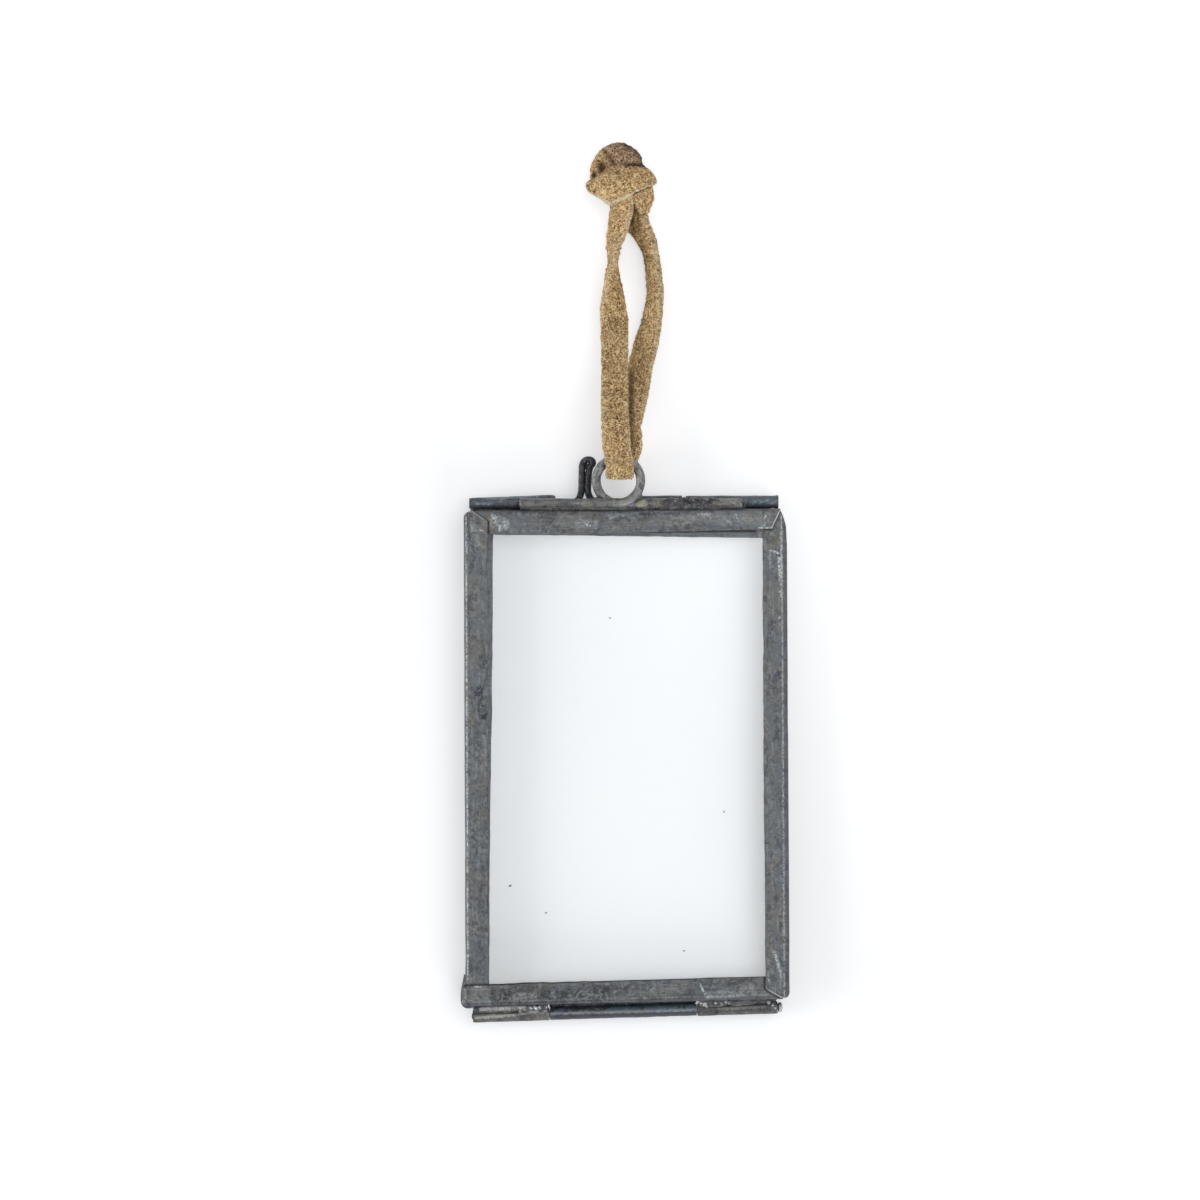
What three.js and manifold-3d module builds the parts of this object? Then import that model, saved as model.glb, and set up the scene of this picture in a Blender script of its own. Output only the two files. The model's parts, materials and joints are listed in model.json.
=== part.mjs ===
// Hanging picture frame: two glass panes edged with folded zinc came, hinged along the bottom,
// held shut by a sliding wire bolt on top and hung by a flat suede lace from a wire ring.
// Millimetres. It lies on its back: +X to the right, +Y towards the ring, +Z out of the front glass.
// The origin is the centre of the underside of the rigid pieces' box.
import * as THREE from 'three';
import { mergeVertices } from 'three/addons/utils/BufferGeometryUtils.js';
import Module from 'manifold-3d';

const wasm = await Module();
wasm.setup();

// Leaves. Both leaves have the same outline, whose bottom edge was set slightly out of square.
const frameWidth = 60;
const leftHeight = 91.6;
const bottomRise = 1.8;
const faceWidth = 4.4;
const cameWall = 0.5;
const cameEdgeRadius = 0.4;
const glassThickness = 1.7;
const glassFacePlay = 0.05;
const glassEdgePlay = 0.3;
const leafGap = 0.3;
const cornerRadii = { topLeft: 1.2, topRight: 2.2, bottomRight: 1.4, bottomLeft: 0.9 };

// Corner laps: at each corner one strip's end lies over the next, and its free corner is cut off.
const lapGap = 0.12;
const lapCutAcross = 2.6;
const lapCutAlong = 1.6;

// Tubes and pins, rolled from thin sheet round wire. Solder fills the seams beside them: it stops
// short of a tube's ends and of the leaf's outer face.
const pinRadius = 0.6;
const boreClearance = 0.2;
const tubeWall = 0.35;
const solderGap = 0.1;
const solderInset = 0.6;
const solderMargin = 1.05;

// Hinge barrel along the bottom edge. The middle knuckle fills what the outer two leave.
const barrelSeam = 1.1;
const barrelLeftInset = 1.5;
const barrelRightInset = 1.9;
const leftKnuckleLength = 14.1;
const rightKnuckleLength = 14.8;
const knuckleGap = 0.3;
const pinOverhang = 0.5;
const pinBeadRadius = 0.95;
const pinBeadHeight = 0.55;
const pinBeadTaper = 0.94;

// Latch tubes along the top edge: left and right on the rear leaf, the keeper on the front leaf.
const latchSeam = 0.6;
const latchLeftInset = 0.9;
const latchLeftLength = 16;
const latchRightInset = 1.9;
const latchRightLength = 17;
const latchNotch = 0.7;
const keeperLength = 7.7;

// Latch bolt: one wire with a hairpin handle, drawn back just clear of the keeper tube.
const boltInLeftTube = 11.9;
const boltTipClearance = 0.4;
const handleStandOff = 4.8;
const handleSpacing = 2;
const handleHeight = 8;
const handleFootRadius = 1;

// Lace.
const laceWidth = 5;
const laceThickness = 1.5;
const laceFoldClearance = 0.25;
const knotGap = 0.3;
const laceSamplesPerSpan = 3;

// Hanging ring: one wire with a full turn and two tails soldered along the front leaf's top edge.
const ringWireRadius = 0.8;
const ringSidePlay = 0.82;
const ringToKeeper = 4.1;
const ringSeam = 0.7;
const ringLeftLap = 6.4;
const ringRightLap = 10.4;
const ringTurnGap = 0.2;
const ringTubeGap = 0.2;
const ringRiseLead = 1.6;
const ringFallStart = 0.6;
const ringFallEnd = 0.88;

const zinc = { color: 0x6a6d6f, roughness: 0.55, metalness: 0.7 };
const tubeZinc = { color: 0x5c6168, roughness: 0.5, metalness: 0.75 };
const wireZinc = { color: 0x666b70, roughness: 0.5, metalness: 0.75 };
const solder = { color: 0x8a8778, roughness: 0.6, metalness: 0.5 };
const glass = { color: 0xe6eef2, roughness: 0.05, metalness: 0, transparent: true, opacity: 0.25 };
const suede = { color: 0xa3875f, roughness: 0.95, metalness: 0 };
const darkSuede = { color: 0x8a6f55, roughness: 0.95, metalness: 0 };

// Worked out from the dimensions above
const halfWidth = frameWidth / 2;
const bottomSlope = Math.atan2(bottomRise, frameWidth);
const channelWidth = glassThickness + 2 * glassFacePlay;
const leafThickness = channelWidth + 2 * cameWall;
const frontLeafZ = leafThickness + leafGap;
const pinZ = leafThickness + leafGap / 2;
const boreRadius = pinRadius + boreClearance;
const tubeRadius = boreRadius + tubeWall;
const solderLowest = leafGap / 2 + solderGap;
const solderSpread = leafThickness + leafGap / 2 - solderMargin;
const barrelDrop = tubeRadius + barrelSeam;
const latchRise = tubeRadius + latchSeam;
const latchLeftStart = -halfWidth + latchLeftInset;
const latchLeftEnd = latchLeftStart + latchLeftLength;
const latchRightStart = halfWidth - latchRightInset - latchRightLength;
const keeperStart = latchRightStart - latchNotch - keeperLength;
const handleLeft = latchLeftEnd + handleStandOff;
const ringX = keeperStart - ringToKeeper;
const ringRise = ringWireRadius + ringSeam;
const ringTurnRadius = laceWidth / 2 + ringSidePlay + ringWireRadius;
const ringLeftEnd = latchLeftEnd - ringLeftLap;
const ringRightEnd = latchRightStart + ringRightLap;

const part = new THREE.Group();

function addMesh(name, geometry, look, parent = part) {
  const mesh = new THREE.Mesh(geometry, new THREE.MeshStandardMaterial(look));
  mesh.name = name;
  parent.add(mesh);
  return mesh;
}

// Solids for joining and cutting

function solidOf(geometry) {
  const bare = geometry.clone();
  bare.deleteAttribute('normal');
  bare.deleteAttribute('uv');
  const merged = mergeVertices(bare, 1e-4);
  return new wasm.Manifold(new wasm.Mesh({
    numProp: 3,
    vertProperties: Float32Array.from(merged.attributes.position.array),
    triVerts: Uint32Array.from(merged.index.array),
  }));
}

function geometryOf(solid) {
  const mesh = solid.getMesh();
  const geometry = new THREE.BufferGeometry();
  geometry.setAttribute('position', new THREE.BufferAttribute(mesh.vertProperties, 3));
  geometry.setIndex(new THREE.BufferAttribute(mesh.triVerts, 1));
  geometry.computeVertexNormals();
  return geometry;
}

function prism(shape, zLow, zHigh, bevel = 0) {
  const geometry = new THREE.ExtrudeGeometry(shape, {
    depth: zHigh - zLow - 2 * bevel,
    bevelEnabled: bevel > 0,
    bevelThickness: bevel,
    bevelSize: bevel,
    bevelOffset: -bevel,
    bevelSegments: 3,
    curveSegments: 5,
  });
  geometry.translate(0, 0, zLow + bevel);
  return geometry;
}

// A section drawn in Y and Z, drawn out along X
function alongX(section, xLow, xHigh) {
  const geometry = new THREE.ExtrudeGeometry(section, { depth: xHigh - xLow, bevelEnabled: false });
  const turn = new THREE.Matrix4().makeBasis(
    new THREE.Vector3(0, 1, 0),
    new THREE.Vector3(0, 0, 1),
    new THREE.Vector3(1, 0, 0),
  );
  geometry.applyMatrix4(turn);
  geometry.translate(xLow, 0, 0);
  return geometry;
}

// Leaf outline, with Y = 0 on the top edge

function bottomEdge(x, inset) {
  return (x + halfWidth) * Math.tan(bottomSlope) - leftHeight + inset / Math.cos(bottomSlope);
}

function leafCorners(inset) {
  const left = -halfWidth + inset;
  const right = halfWidth - inset;
  return [
    new THREE.Vector2(left, -inset),
    new THREE.Vector2(right, -inset),
    new THREE.Vector2(right, bottomEdge(right, inset)),
    new THREE.Vector2(left, bottomEdge(left, inset)),
  ];
}

function roundedOutline(inset) {
  const corners = leafCorners(inset);
  const radii = Object.values(cornerRadii).map((radius) => Math.max(radius - inset, 0.05));
  const shape = new THREE.Shape();
  corners.forEach((corner, i) => {
    const before = corners[(i + 3) % 4];
    const after = corners[(i + 1) % 4];
    const start = corner.clone().add(before.clone().sub(corner).setLength(radii[i]));
    const end = corner.clone().add(after.clone().sub(corner).setLength(radii[i]));
    if (i === 0) shape.moveTo(start.x, start.y);
    else shape.lineTo(start.x, start.y);
    shape.quadraticCurveTo(corner.x, corner.y, end.x, end.y);
  });
  shape.closePath();
  return shape;
}

// The whole came of one leaf: a channel that opens inwards round the pane
function wholeCame() {
  const edge = Math.min(cameEdgeRadius, cameWall, Math.min(...Object.values(cornerRadii)) / 2);
  const block = solidOf(prism(roundedOutline(0), 0, leafThickness, edge));
  const opening = solidOf(prism(new THREE.Shape(leafCorners(faceWidth)), -1, leafThickness + 1));
  const channel = solidOf(prism(roundedOutline(cameWall), cameWall, cameWall + channelWidth));
  return block.subtract(opening).subtract(channel);
}

// The zone of a strip that lies over its neighbour at a corner. `along` points to the strip's end
// and `inwards` to the pane; `cut` is the cut-off corner, and `grow` widens the zone.
function lapZone(corner, along, inwards, cut, grow) {
  const reach = leftHeight + frameWidth;
  const at = (across, back) => corner.clone()
    .addScaledVector(inwards, across)
    .addScaledVector(along, -back);
  const edge = faceWidth + grow;
  const outline = [at(-reach, reach), at(edge, reach)];
  if (cut) {
    outline.push(at(edge, lapCutAlong - grow), at(edge - lapCutAcross, -grow));
    outline.push(at(edge - lapCutAcross, -reach));
  } else {
    outline.push(at(edge, -reach));
  }
  outline.push(at(-reach, -reach));
  return solidOf(prism(new THREE.Shape(outline), -1, leafThickness + 1));
}

function addCames(leaf, z) {
  const whole = wholeCame();
  const [topLeft, topRight, bottomRight, bottomLeft] = leafCorners(0);
  const up = new THREE.Vector2(0, 1);
  const right = new THREE.Vector2(1, 0);
  const down = up.clone().negate();
  const left = right.clone().negate();
  const slopeLeft = left.clone().rotateAround(new THREE.Vector2(), bottomSlope);
  const slopeUp = up.clone().rotateAround(new THREE.Vector2(), bottomSlope);
  const strips = [
    { name: 'left', corner: topLeft, along: up, inwards: right, cut: true },
    { name: 'top', corner: topRight, along: right, inwards: down, cut: true },
    { name: 'right', corner: bottomRight, along: down, inwards: left, cut: true },
    { name: 'bottom', corner: bottomLeft, along: slopeLeft, inwards: slopeUp, cut: false },
  ];
  const zone = (strip, grow) => lapZone(strip.corner, strip.along, strip.inwards, strip.cut, grow);
  strips.forEach((strip, i) => {
    const overIt = strips[(i + 3) % 4];
    const solid = whole.intersect(zone(strip, 0)).subtract(zone(overIt, lapGap));
    const mesh = addMesh(`${leaf}_${strip.name}_came`, geometryOf(solid), zinc);
    mesh.position.z = z;
  });
}

function addGlass(leaf, z) {
  const low = cameWall + glassFacePlay;
  const pane = prism(roundedOutline(cameWall + glassEdgePlay), low, low + glassThickness);
  const mesh = addMesh(`${leaf}_glass`, pane, glass);
  mesh.position.z = z;
}

// Tubes, pins and the solder beside them

function tube(length, outer = tubeRadius, inner = boreRadius) {
  const profile = [
    new THREE.Vector2(inner, 0),
    new THREE.Vector2(outer, 0),
    new THREE.Vector2(outer, length),
    new THREE.Vector2(inner, length),
    new THREE.Vector2(inner, 0),
  ];
  return new THREE.LatheGeometry(profile, 20).rotateZ(-Math.PI / 2);
}

// Solder between a round piece and a came's edge. Y and Z are measured from the round piece's
// axis, the edge lies `reach` away on the side `toward`, and the fillet meets it from zLow to zHigh.
function solderSection(radius, reach, toward, zLow, zHigh) {
  const hug = radius + solderGap;
  const flat = reach - solderGap;
  const steepest = Math.PI / 3;
  const angleAt = (z) => {
    const share = THREE.MathUtils.clamp(z / hug, -Math.sin(steepest), Math.sin(steepest));
    return Math.asin(share);
  };
  const from = angleAt(zHigh);
  const to = angleAt(zLow);
  const arcSteps = 6;
  const points = [new THREE.Vector2(toward * flat, zLow), new THREE.Vector2(toward * flat, zHigh)];
  for (let i = 0; i <= arcSteps; i++) {
    const angle = from + ((to - from) * i) / arcSteps;
    points.push(new THREE.Vector2(toward * hug * Math.cos(angle), hug * Math.sin(angle)));
  }
  return new THREE.Shape(points);
}

function addHinge() {
  const barrel = new THREE.Group();
  barrel.position.set(
    barrelDrop * Math.sin(bottomSlope),
    bottomEdge(0, 0) - barrelDrop * Math.cos(bottomSlope),
    pinZ,
  );
  barrel.rotation.z = bottomSlope;
  part.add(barrel);

  const barrelStart = -halfWidth + barrelLeftInset;
  const barrelEnd = halfWidth - barrelRightInset;
  const middleStart = barrelStart + leftKnuckleLength + knuckleGap;
  const rightStart = barrelEnd - rightKnuckleLength;
  const middleKnuckleLength = rightStart - knuckleGap - middleStart;
  const knuckles = [
    { name: 'front_left_knuckle', start: barrelStart, length: leftKnuckleLength, front: true },
    { name: 'rear_hinge_knuckle', start: middleStart, length: middleKnuckleLength, front: false },
    { name: 'front_right_knuckle', start: rightStart, length: rightKnuckleLength, front: true },
  ];
  const frontFillet = solderSection(tubeRadius, barrelDrop, 1, solderLowest, solderSpread);
  const rearFillet = solderSection(tubeRadius, barrelDrop, 1, -solderSpread, -solderLowest);
  for (const { name, start, length, front } of knuckles) {
    addMesh(name, tube(length).translate(start, 0, 0), tubeZinc, barrel);
    const fillet = front ? frontFillet : rearFillet;
    const run = alongX(fillet, start + solderInset, start + length - solderInset);
    addMesh(`${name}_solder`, run, solder, barrel);
  }

  const pinLength = barrelEnd + pinOverhang - barrelStart;
  const pin = new THREE.CylinderGeometry(pinRadius, pinRadius, pinLength, 16).rotateZ(-Math.PI / 2);
  addMesh('hinge_pin', pin.translate(barrelStart + pinLength / 2, 0, 0), wireZinc, barrel);

  const beadBore = pinRadius + solderGap;
  const beadProfile = [
    new THREE.Vector2(beadBore, 0),
    new THREE.Vector2(pinBeadRadius, 0),
    new THREE.Vector2(pinBeadRadius * pinBeadTaper, pinBeadHeight / 2),
    new THREE.Vector2((pinBeadRadius + beadBore) / 2, pinBeadHeight),
    new THREE.Vector2(beadBore, pinBeadHeight),
    new THREE.Vector2(beadBore, 0),
  ];
  const bead = new THREE.LatheGeometry(beadProfile, 16).rotateZ(-Math.PI / 2);
  addMesh('hinge_pin_bead', bead.translate(barrelEnd + solderGap, 0, 0), solder, barrel);
}

function addLatchTubes() {
  const top = new THREE.Group();
  top.position.set(0, latchRise, pinZ);
  part.add(top);
  const rearFillet = solderSection(tubeRadius, latchRise, -1, -solderSpread, -solderLowest);
  const keeperTop = tubeRadius - solderGap;
  const frontFillet = solderSection(tubeRadius, latchRise, -1, solderLowest, keeperTop);
  const tubes = [
    { name: 'latch_left_tube', start: latchLeftStart, length: latchLeftLength, fillet: rearFillet },
    { name: 'latch_keeper_tube', start: keeperStart, length: keeperLength, fillet: frontFillet },
    {
      name: 'latch_right_tube', start: latchRightStart, length: latchRightLength,
      fillet: rearFillet,
    },
  ];
  for (const { name, start, length, fillet } of tubes) {
    addMesh(name, tube(length).translate(start, 0, 0), tubeZinc, top);
    const run = alongX(fillet, start + solderInset, start + length - solderInset);
    addMesh(`${name}_solder`, run, solder, top);
  }
}

// Wires

function wire(path, radius, steps, sides = 10) {
  const section = new THREE.Shape();
  for (let i = 0; i < sides; i++) {
    const angle = (2 * Math.PI * i) / sides;
    const x = radius * Math.cos(angle);
    const y = radius * Math.sin(angle);
    if (i === 0) section.moveTo(x, y);
    else section.lineTo(x, y);
  }
  section.closePath();
  return new THREE.ExtrudeGeometry(section, { steps, extrudePath: path, bevelEnabled: false });
}

// The bolt's wire runs right, turns up the left strand, over the hairpin and down the right
// strand, and runs on to its tip
function addLatchBolt() {
  const tip = keeperStart - boltTipClearance;
  const topY = handleHeight - handleSpacing / 2;
  const right = handleLeft + handleSpacing;
  const foot = handleFootRadius;
  const at = (x, y) => new THREE.Vector3(x, y, 0);
  const path = new THREE.CurvePath();
  const line = (a, b) => path.add(new THREE.LineCurve3(a, b));
  const bend = (a, corner, b) => path.add(new THREE.QuadraticBezierCurve3(a, corner, b));
  line(at(latchLeftEnd - boltInLeftTube, 0), at(handleLeft - foot, 0));
  bend(at(handleLeft - foot, 0), at(handleLeft, 0), at(handleLeft, foot));
  line(at(handleLeft, foot), at(handleLeft, topY));
  const crown = (handleLeft + right) / 2;
  const crownY = handleHeight;
  bend(at(handleLeft, topY), at(handleLeft, crownY), at(crown, crownY));
  bend(at(crown, crownY), at(right, crownY), at(right, topY));
  line(at(right, topY), at(right, foot));
  bend(at(right, foot), at(right, 0), at(right + foot, 0));
  line(at(right + foot, 0), at(tip, 0));
  const bolt = addMesh('latch_bolt', wire(path, pinRadius, 90), wireZinc);
  bolt.position.set(0, latchRise, pinZ);
}

const tailZ = pinZ + tubeRadius + ringTubeGap + ringWireRadius;
const ringFrontZ = tailZ + 2 * ringWireRadius + ringTurnGap;
const ringCentreY = ringRise + ringTurnRadius;
const ringTopY = ringCentreY + ringTurnRadius;
const riseStart = latchLeftEnd + ringRiseLead;
const riseEnd = ringX - ringTurnRadius;

// Two tails and one turn between them. The turn starts at the bottom in front, climbs the right
// side and comes back to the bottom behind its own start.
class RingCurve extends THREE.Curve {
  constructor() {
    super();
    this.leftLength = ringX - ringLeftEnd;
    this.turnLength = 2 * Math.PI * ringTurnRadius;
    this.rightLength = ringRightEnd - ringX;
  }

  getPoint(t, target = new THREE.Vector3()) {
    const total = this.leftLength + this.turnLength + this.rightLength;
    const run = t * total;
    if (run <= this.leftLength) {
      const x = ringLeftEnd + run;
      const rise = THREE.MathUtils.smoothstep(x, riseStart, riseEnd);
      return target.set(x, ringRise, THREE.MathUtils.lerp(tailZ, ringFrontZ, rise));
    }
    if (run >= this.leftLength + this.turnLength) {
      return target.set(ringX + run - this.leftLength - this.turnLength, ringRise, tailZ);
    }
    const turn = (run - this.leftLength) / this.turnLength;
    const angle = 2 * Math.PI * turn;
    const fall = THREE.MathUtils.smoothstep(turn, ringFallStart, ringFallEnd);
    return target.set(
      ringX + ringTurnRadius * Math.sin(angle),
      ringCentreY - ringTurnRadius * Math.cos(angle),
      THREE.MathUtils.lerp(ringFrontZ, tailZ, fall),
    );
  }
}

function addRing() {
  addMesh('hanging_ring', wire(new RingCurve(), ringWireRadius, 96), wireZinc);
  const low = pinZ + tubeRadius + solderGap + ringTubeGap - tailZ;
  const high = frontLeafZ + leafThickness - cameEdgeRadius / 2 - tailZ;
  const section = solderSection(ringWireRadius, ringRise, -1, low, high);
  const runs = [
    { name: 'ring_left_solder', from: ringLeftEnd + solderInset, to: riseStart },
    { name: 'ring_right_solder', from: ringX + ringTurnRadius, to: ringRightEnd - solderInset },
  ];
  for (const { name, from, to } of runs) {
    const mesh = addMesh(name, alongX(section, from, to), solder);
    mesh.position.set(0, ringRise, tailZ);
  }
}

// Lace: a flat strip from the knot down to the ring, folded round the top of its turn and back.
// X and Y are measured from the top of the ring's turn, Z from the surface that the frame lies on.
// The last number is the strip's roll in degrees.
const mouthY = 45.8;
const frontRoute = [
  [0.4, mouthY, 3.9, 12],
  [0, 42.9, 3.4, 38],
  [-0.7, 39.9, 3, 62],
  [-1.1, 37.2, 2.9, 80],
  [-1.2, 34, 2.9, 107],
  [-1.1, 31.1, 2.8, 127],
  [-1, 28.1, 2.6, 150],
  [-0.8, 25.1, 2.9, 168],
  [-0.7, 20.7, 4, 177],
  [-0.7, 14.4, 6, 180],
  [-0.7, 9.4, 7.5, 180],
  [-0.5, 5, 8.5, 180],
];
const backRoute = [
  [1.3, 4.4, 4.7, 172],
  [2.2, 8.6, 3.6, 164],
  [3.3, 13, 2.8, 152],
  [4.4, 18, 2.4, 140],
  [5.5, 22.2, 2.5, 133],
  [6.1, 25.1, 2.6, 123],
  [6.6, 28.1, 2.7, 116],
  [6.7, 31.1, 2.7, 115],
  [6.5, 34, 2.7, 114],
  [6.2, 37, 2.6, 116],
  [5.2, 40, 2.5, 126],
  [3.7, 42.9, 2.2, 142],
  [2.8, mouthY, 1.7, 165],
];

// The fold's half circle, from the front run to the back run
function foldRoute() {
  const radius = ringWireRadius + laceFoldClearance + laceThickness / 2;
  const foldY = -1.2;
  const foldX = 0.25;
  const route = [[-0.2, 1.2, ringFrontZ + radius, 180]];
  const steps = 6;
  for (let i = 0; i <= steps; i++) {
    const angle = (Math.PI * i) / steps;
    const y = foldY - radius * Math.sin(angle);
    route.push([foldX, y, ringFrontZ + radius * Math.cos(angle), 180]);
  }
  route.push([0.5, 1, ringFrontZ - radius, 180]);
  return route;
}

function laceSection() {
  const chamfer = laceThickness / 4;
  const w = laceWidth / 2;
  const t = laceThickness / 2;
  return [
    [w, -t + chamfer], [w, t - chamfer], [w - chamfer, t], [chamfer - w, t],
    [-w, t - chamfer], [-w, chamfer - t], [chamfer - w, -t], [w - chamfer, -t],
  ];
}

function ribbon(route, section, samples) {
  const centre = new THREE.CatmullRomCurve3(
    route.map(([x, y, z]) => new THREE.Vector3(x, y, z)), false, 'catmullrom', 0.5);
  const roll = new THREE.CatmullRomCurve3(
    route.map(([, , , turn]) => new THREE.Vector3(turn, 0, 0)), false, 'catmullrom', 0.5);
  const stations = (route.length - 1) * samples;
  const positions = [];
  const indices = [];
  const count = section.length;
  for (let i = 0; i <= stations; i++) {
    const t = i / stations;
    const point = centre.getPoint(t);
    const forward = i === 0 || i === stations
      ? new THREE.Vector3(0, i === 0 ? -1 : 1, 0)
      : centre.getTangent(t);
    const across = new THREE.Vector3(1, 0, 0);
    across.addScaledVector(forward, -across.dot(forward)).normalize();
    across.applyAxisAngle(forward, THREE.MathUtils.degToRad(roll.getPoint(t).x));
    const face = forward.clone().cross(across);
    for (const [u, v] of section) {
      const corner = point.clone().addScaledVector(across, u).addScaledVector(face, v);
      positions.push(corner.x, corner.y, corner.z);
    }
  }
  for (let i = 0; i < stations; i++) {
    for (let j = 0; j < count; j++) {
      const a = i * count + j;
      const b = i * count + ((j + 1) % count);
      indices.push(a, b, b + count, a, b + count, a + count);
    }
  }
  const last = stations * count;
  for (let j = 1; j < count - 1; j++) {
    indices.push(0, j + 1, j, last, last + j, last + j + 1);
  }
  const geometry = new THREE.BufferGeometry();
  geometry.setAttribute('position', new THREE.Float32BufferAttribute(positions, 3));
  geometry.setIndex(indices);
  geometry.computeVertexNormals();
  return geometry;
}

function addLace() {
  const hang = new THREE.Group();
  hang.position.set(ringX, ringTopY, 0);
  part.add(hang);
  const route = [...frontRoute, ...foldRoute(), ...backRoute];
  addMesh('hanging_lace', ribbon(route, laceSection(), laceSamplesPerSpan), suede, hang);

  // The knot's swollen masses: the doubled dome, the band round it and the neck below it
  const masses = [
    { centre: [-0.6, 53.9, 3.4], size: [4.7, 4.8, 3.4], turn: 0 },
    { centre: [0.4, 50.8, 3.9], size: [6.6, 3.3, 3.9], turn: 4 },
    { centre: [1.7, 47.4, 2.9], size: [4.2, 3.1, 2.9], turn: 0 },
  ];
  const swollen = masses.map(({ centre, size, turn }) => {
    const ball = new THREE.SphereGeometry(1, 18, 12).rotateX(Math.PI / 2).scale(...size);
    ball.rotateZ(THREE.MathUtils.degToRad(turn));
    return solidOf(ball.translate(...centre));
  });
  const mouth = solidOf(new THREE.BoxGeometry(30, 10, 30).translate(0, mouthY + knotGap - 5, 0));
  const knot = swollen.reduce((whole, mass) => whole.add(mass)).subtract(mouth);
  addMesh('lace_knot', geometryOf(knot), darkSuede, hang);
}

addGlass('rear', 0);
addCames('rear', 0);
addGlass('front', frontLeafZ);
addCames('front', frontLeafZ);
addHinge();
addLatchTubes();
addLatchBolt();
addRing();

// The rigid pieces' box sets the origin, so the lace is added after it is measured
const box = new THREE.Box3().setFromObject(part);
const centre = box.getCenter(new THREE.Vector3());
part.position.set(-centre.x, -centre.y, -box.min.z);
addLace();
part.updateMatrixWorld(true);

const placed = (x, y, z) => part.localToWorld(new THREE.Vector3(x, y, z)).toArray()
  .map((value) => value.toFixed(3)).join(', ');
const hingeY = bottomEdge(0, 0) - barrelDrop * Math.cos(bottomSlope);
console.log('hinge axis point', placed(barrelDrop * Math.sin(bottomSlope), hingeY, pinZ));
console.log('hinge axis slope in degrees', THREE.MathUtils.radToDeg(bottomSlope).toFixed(4));
console.log('latch axis point', placed(0, latchRise, pinZ));
console.log('ring centre', placed(ringX, ringCentreY, (tailZ + ringFrontZ) / 2));
console.log('overall size', box.getSize(new THREE.Vector3()).toArray().map((v) => v.toFixed(3)));

export default part;
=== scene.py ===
"""Small hanging picture frame: two panes edged with folded zinc came, hinged along the bottom, with
a sliding latch bolt, a wire ring and a knotted suede lace. Lengths in the code are millimetres."""

import json
import math

import bmesh
import bpy
import numpy as np
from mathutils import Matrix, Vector, noise


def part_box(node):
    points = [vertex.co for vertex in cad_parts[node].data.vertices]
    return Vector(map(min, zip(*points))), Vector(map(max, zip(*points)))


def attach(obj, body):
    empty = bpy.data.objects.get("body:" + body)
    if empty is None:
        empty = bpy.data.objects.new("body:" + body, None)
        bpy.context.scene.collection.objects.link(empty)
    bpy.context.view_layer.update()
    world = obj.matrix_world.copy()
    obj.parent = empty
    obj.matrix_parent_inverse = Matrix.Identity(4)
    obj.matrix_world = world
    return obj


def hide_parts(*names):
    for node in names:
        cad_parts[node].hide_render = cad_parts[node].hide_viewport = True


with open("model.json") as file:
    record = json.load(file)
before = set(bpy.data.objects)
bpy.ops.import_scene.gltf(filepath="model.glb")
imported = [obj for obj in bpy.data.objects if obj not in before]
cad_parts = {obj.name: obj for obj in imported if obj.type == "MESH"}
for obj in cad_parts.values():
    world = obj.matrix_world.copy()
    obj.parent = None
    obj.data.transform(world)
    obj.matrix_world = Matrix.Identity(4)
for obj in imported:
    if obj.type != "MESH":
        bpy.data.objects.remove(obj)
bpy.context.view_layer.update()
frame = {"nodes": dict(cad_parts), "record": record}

bl_info = {
    "name": "Hanging Glass Picture Frame",
    "version": (1, 0, 0),
    "blender": (4, 5, 0),
    "location": "3D View > Sidebar > Picture Frame",
    "description": "Dresses the two-leaf picture frame with handmade zinc, solder, glass and suede",
    "category": "Object",
}

MM = 0.001


def cad_span(node, axis):
    """Where a CAD node starts and ends along an axis, 0 to 2, in millimetres."""
    return [corner[axis] for corner in (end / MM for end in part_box(node))]


def cad_radius(node):
    """Half the depth of a round CAD node that lies flat."""
    low, high = cad_span(node, 2)
    return (high - low) / 2


# Places taken from the CAD nodes
LEAF_TOP = cad_span("front_top_came", 1)[1]
LEAF_DEPTH = cad_span("rear_left_came", 2)[1]
FRONT_FACE = cad_span("front_left_came", 2)[1]
PANE_TOP = cad_span("front_glass", 2)[1]
LATCH_Y = sum(cad_span("latch_right_tube", 1)) / 2
LATCH_LEFT = cad_span("latch_left_tube", 0)
LATCH_KEEPER = cad_span("latch_keeper_tube", 0)
LATCH_RIGHT = cad_span("latch_right_tube", 0)
TUBE_RADIUS = cad_span("latch_right_tube", 1)[1] - LATCH_Y
TUBE_Z = sum(cad_span("latch_right_tube", 2)) / 2
HINGE = next(j for j in frame["record"]["behaviour"]["joints"] if j["name"] == "leaf_hinge")
HINGE_POINT = Vector(HINGE["pos_m"]) / MM
HINGE_ALONG = Vector(HINGE["axis"]).normalized()

# The ring's wire, as in CAD
RING_X = -1.4
RING_TURN_RADIUS = 4.12
RING_RISE = 1.5
RING_TAIL_Z = 5.1
RING_FRONT_Z = 6.9
RING_TOP_Y = LEAF_TOP + RING_RISE + 2 * RING_TURN_RADIUS

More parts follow.
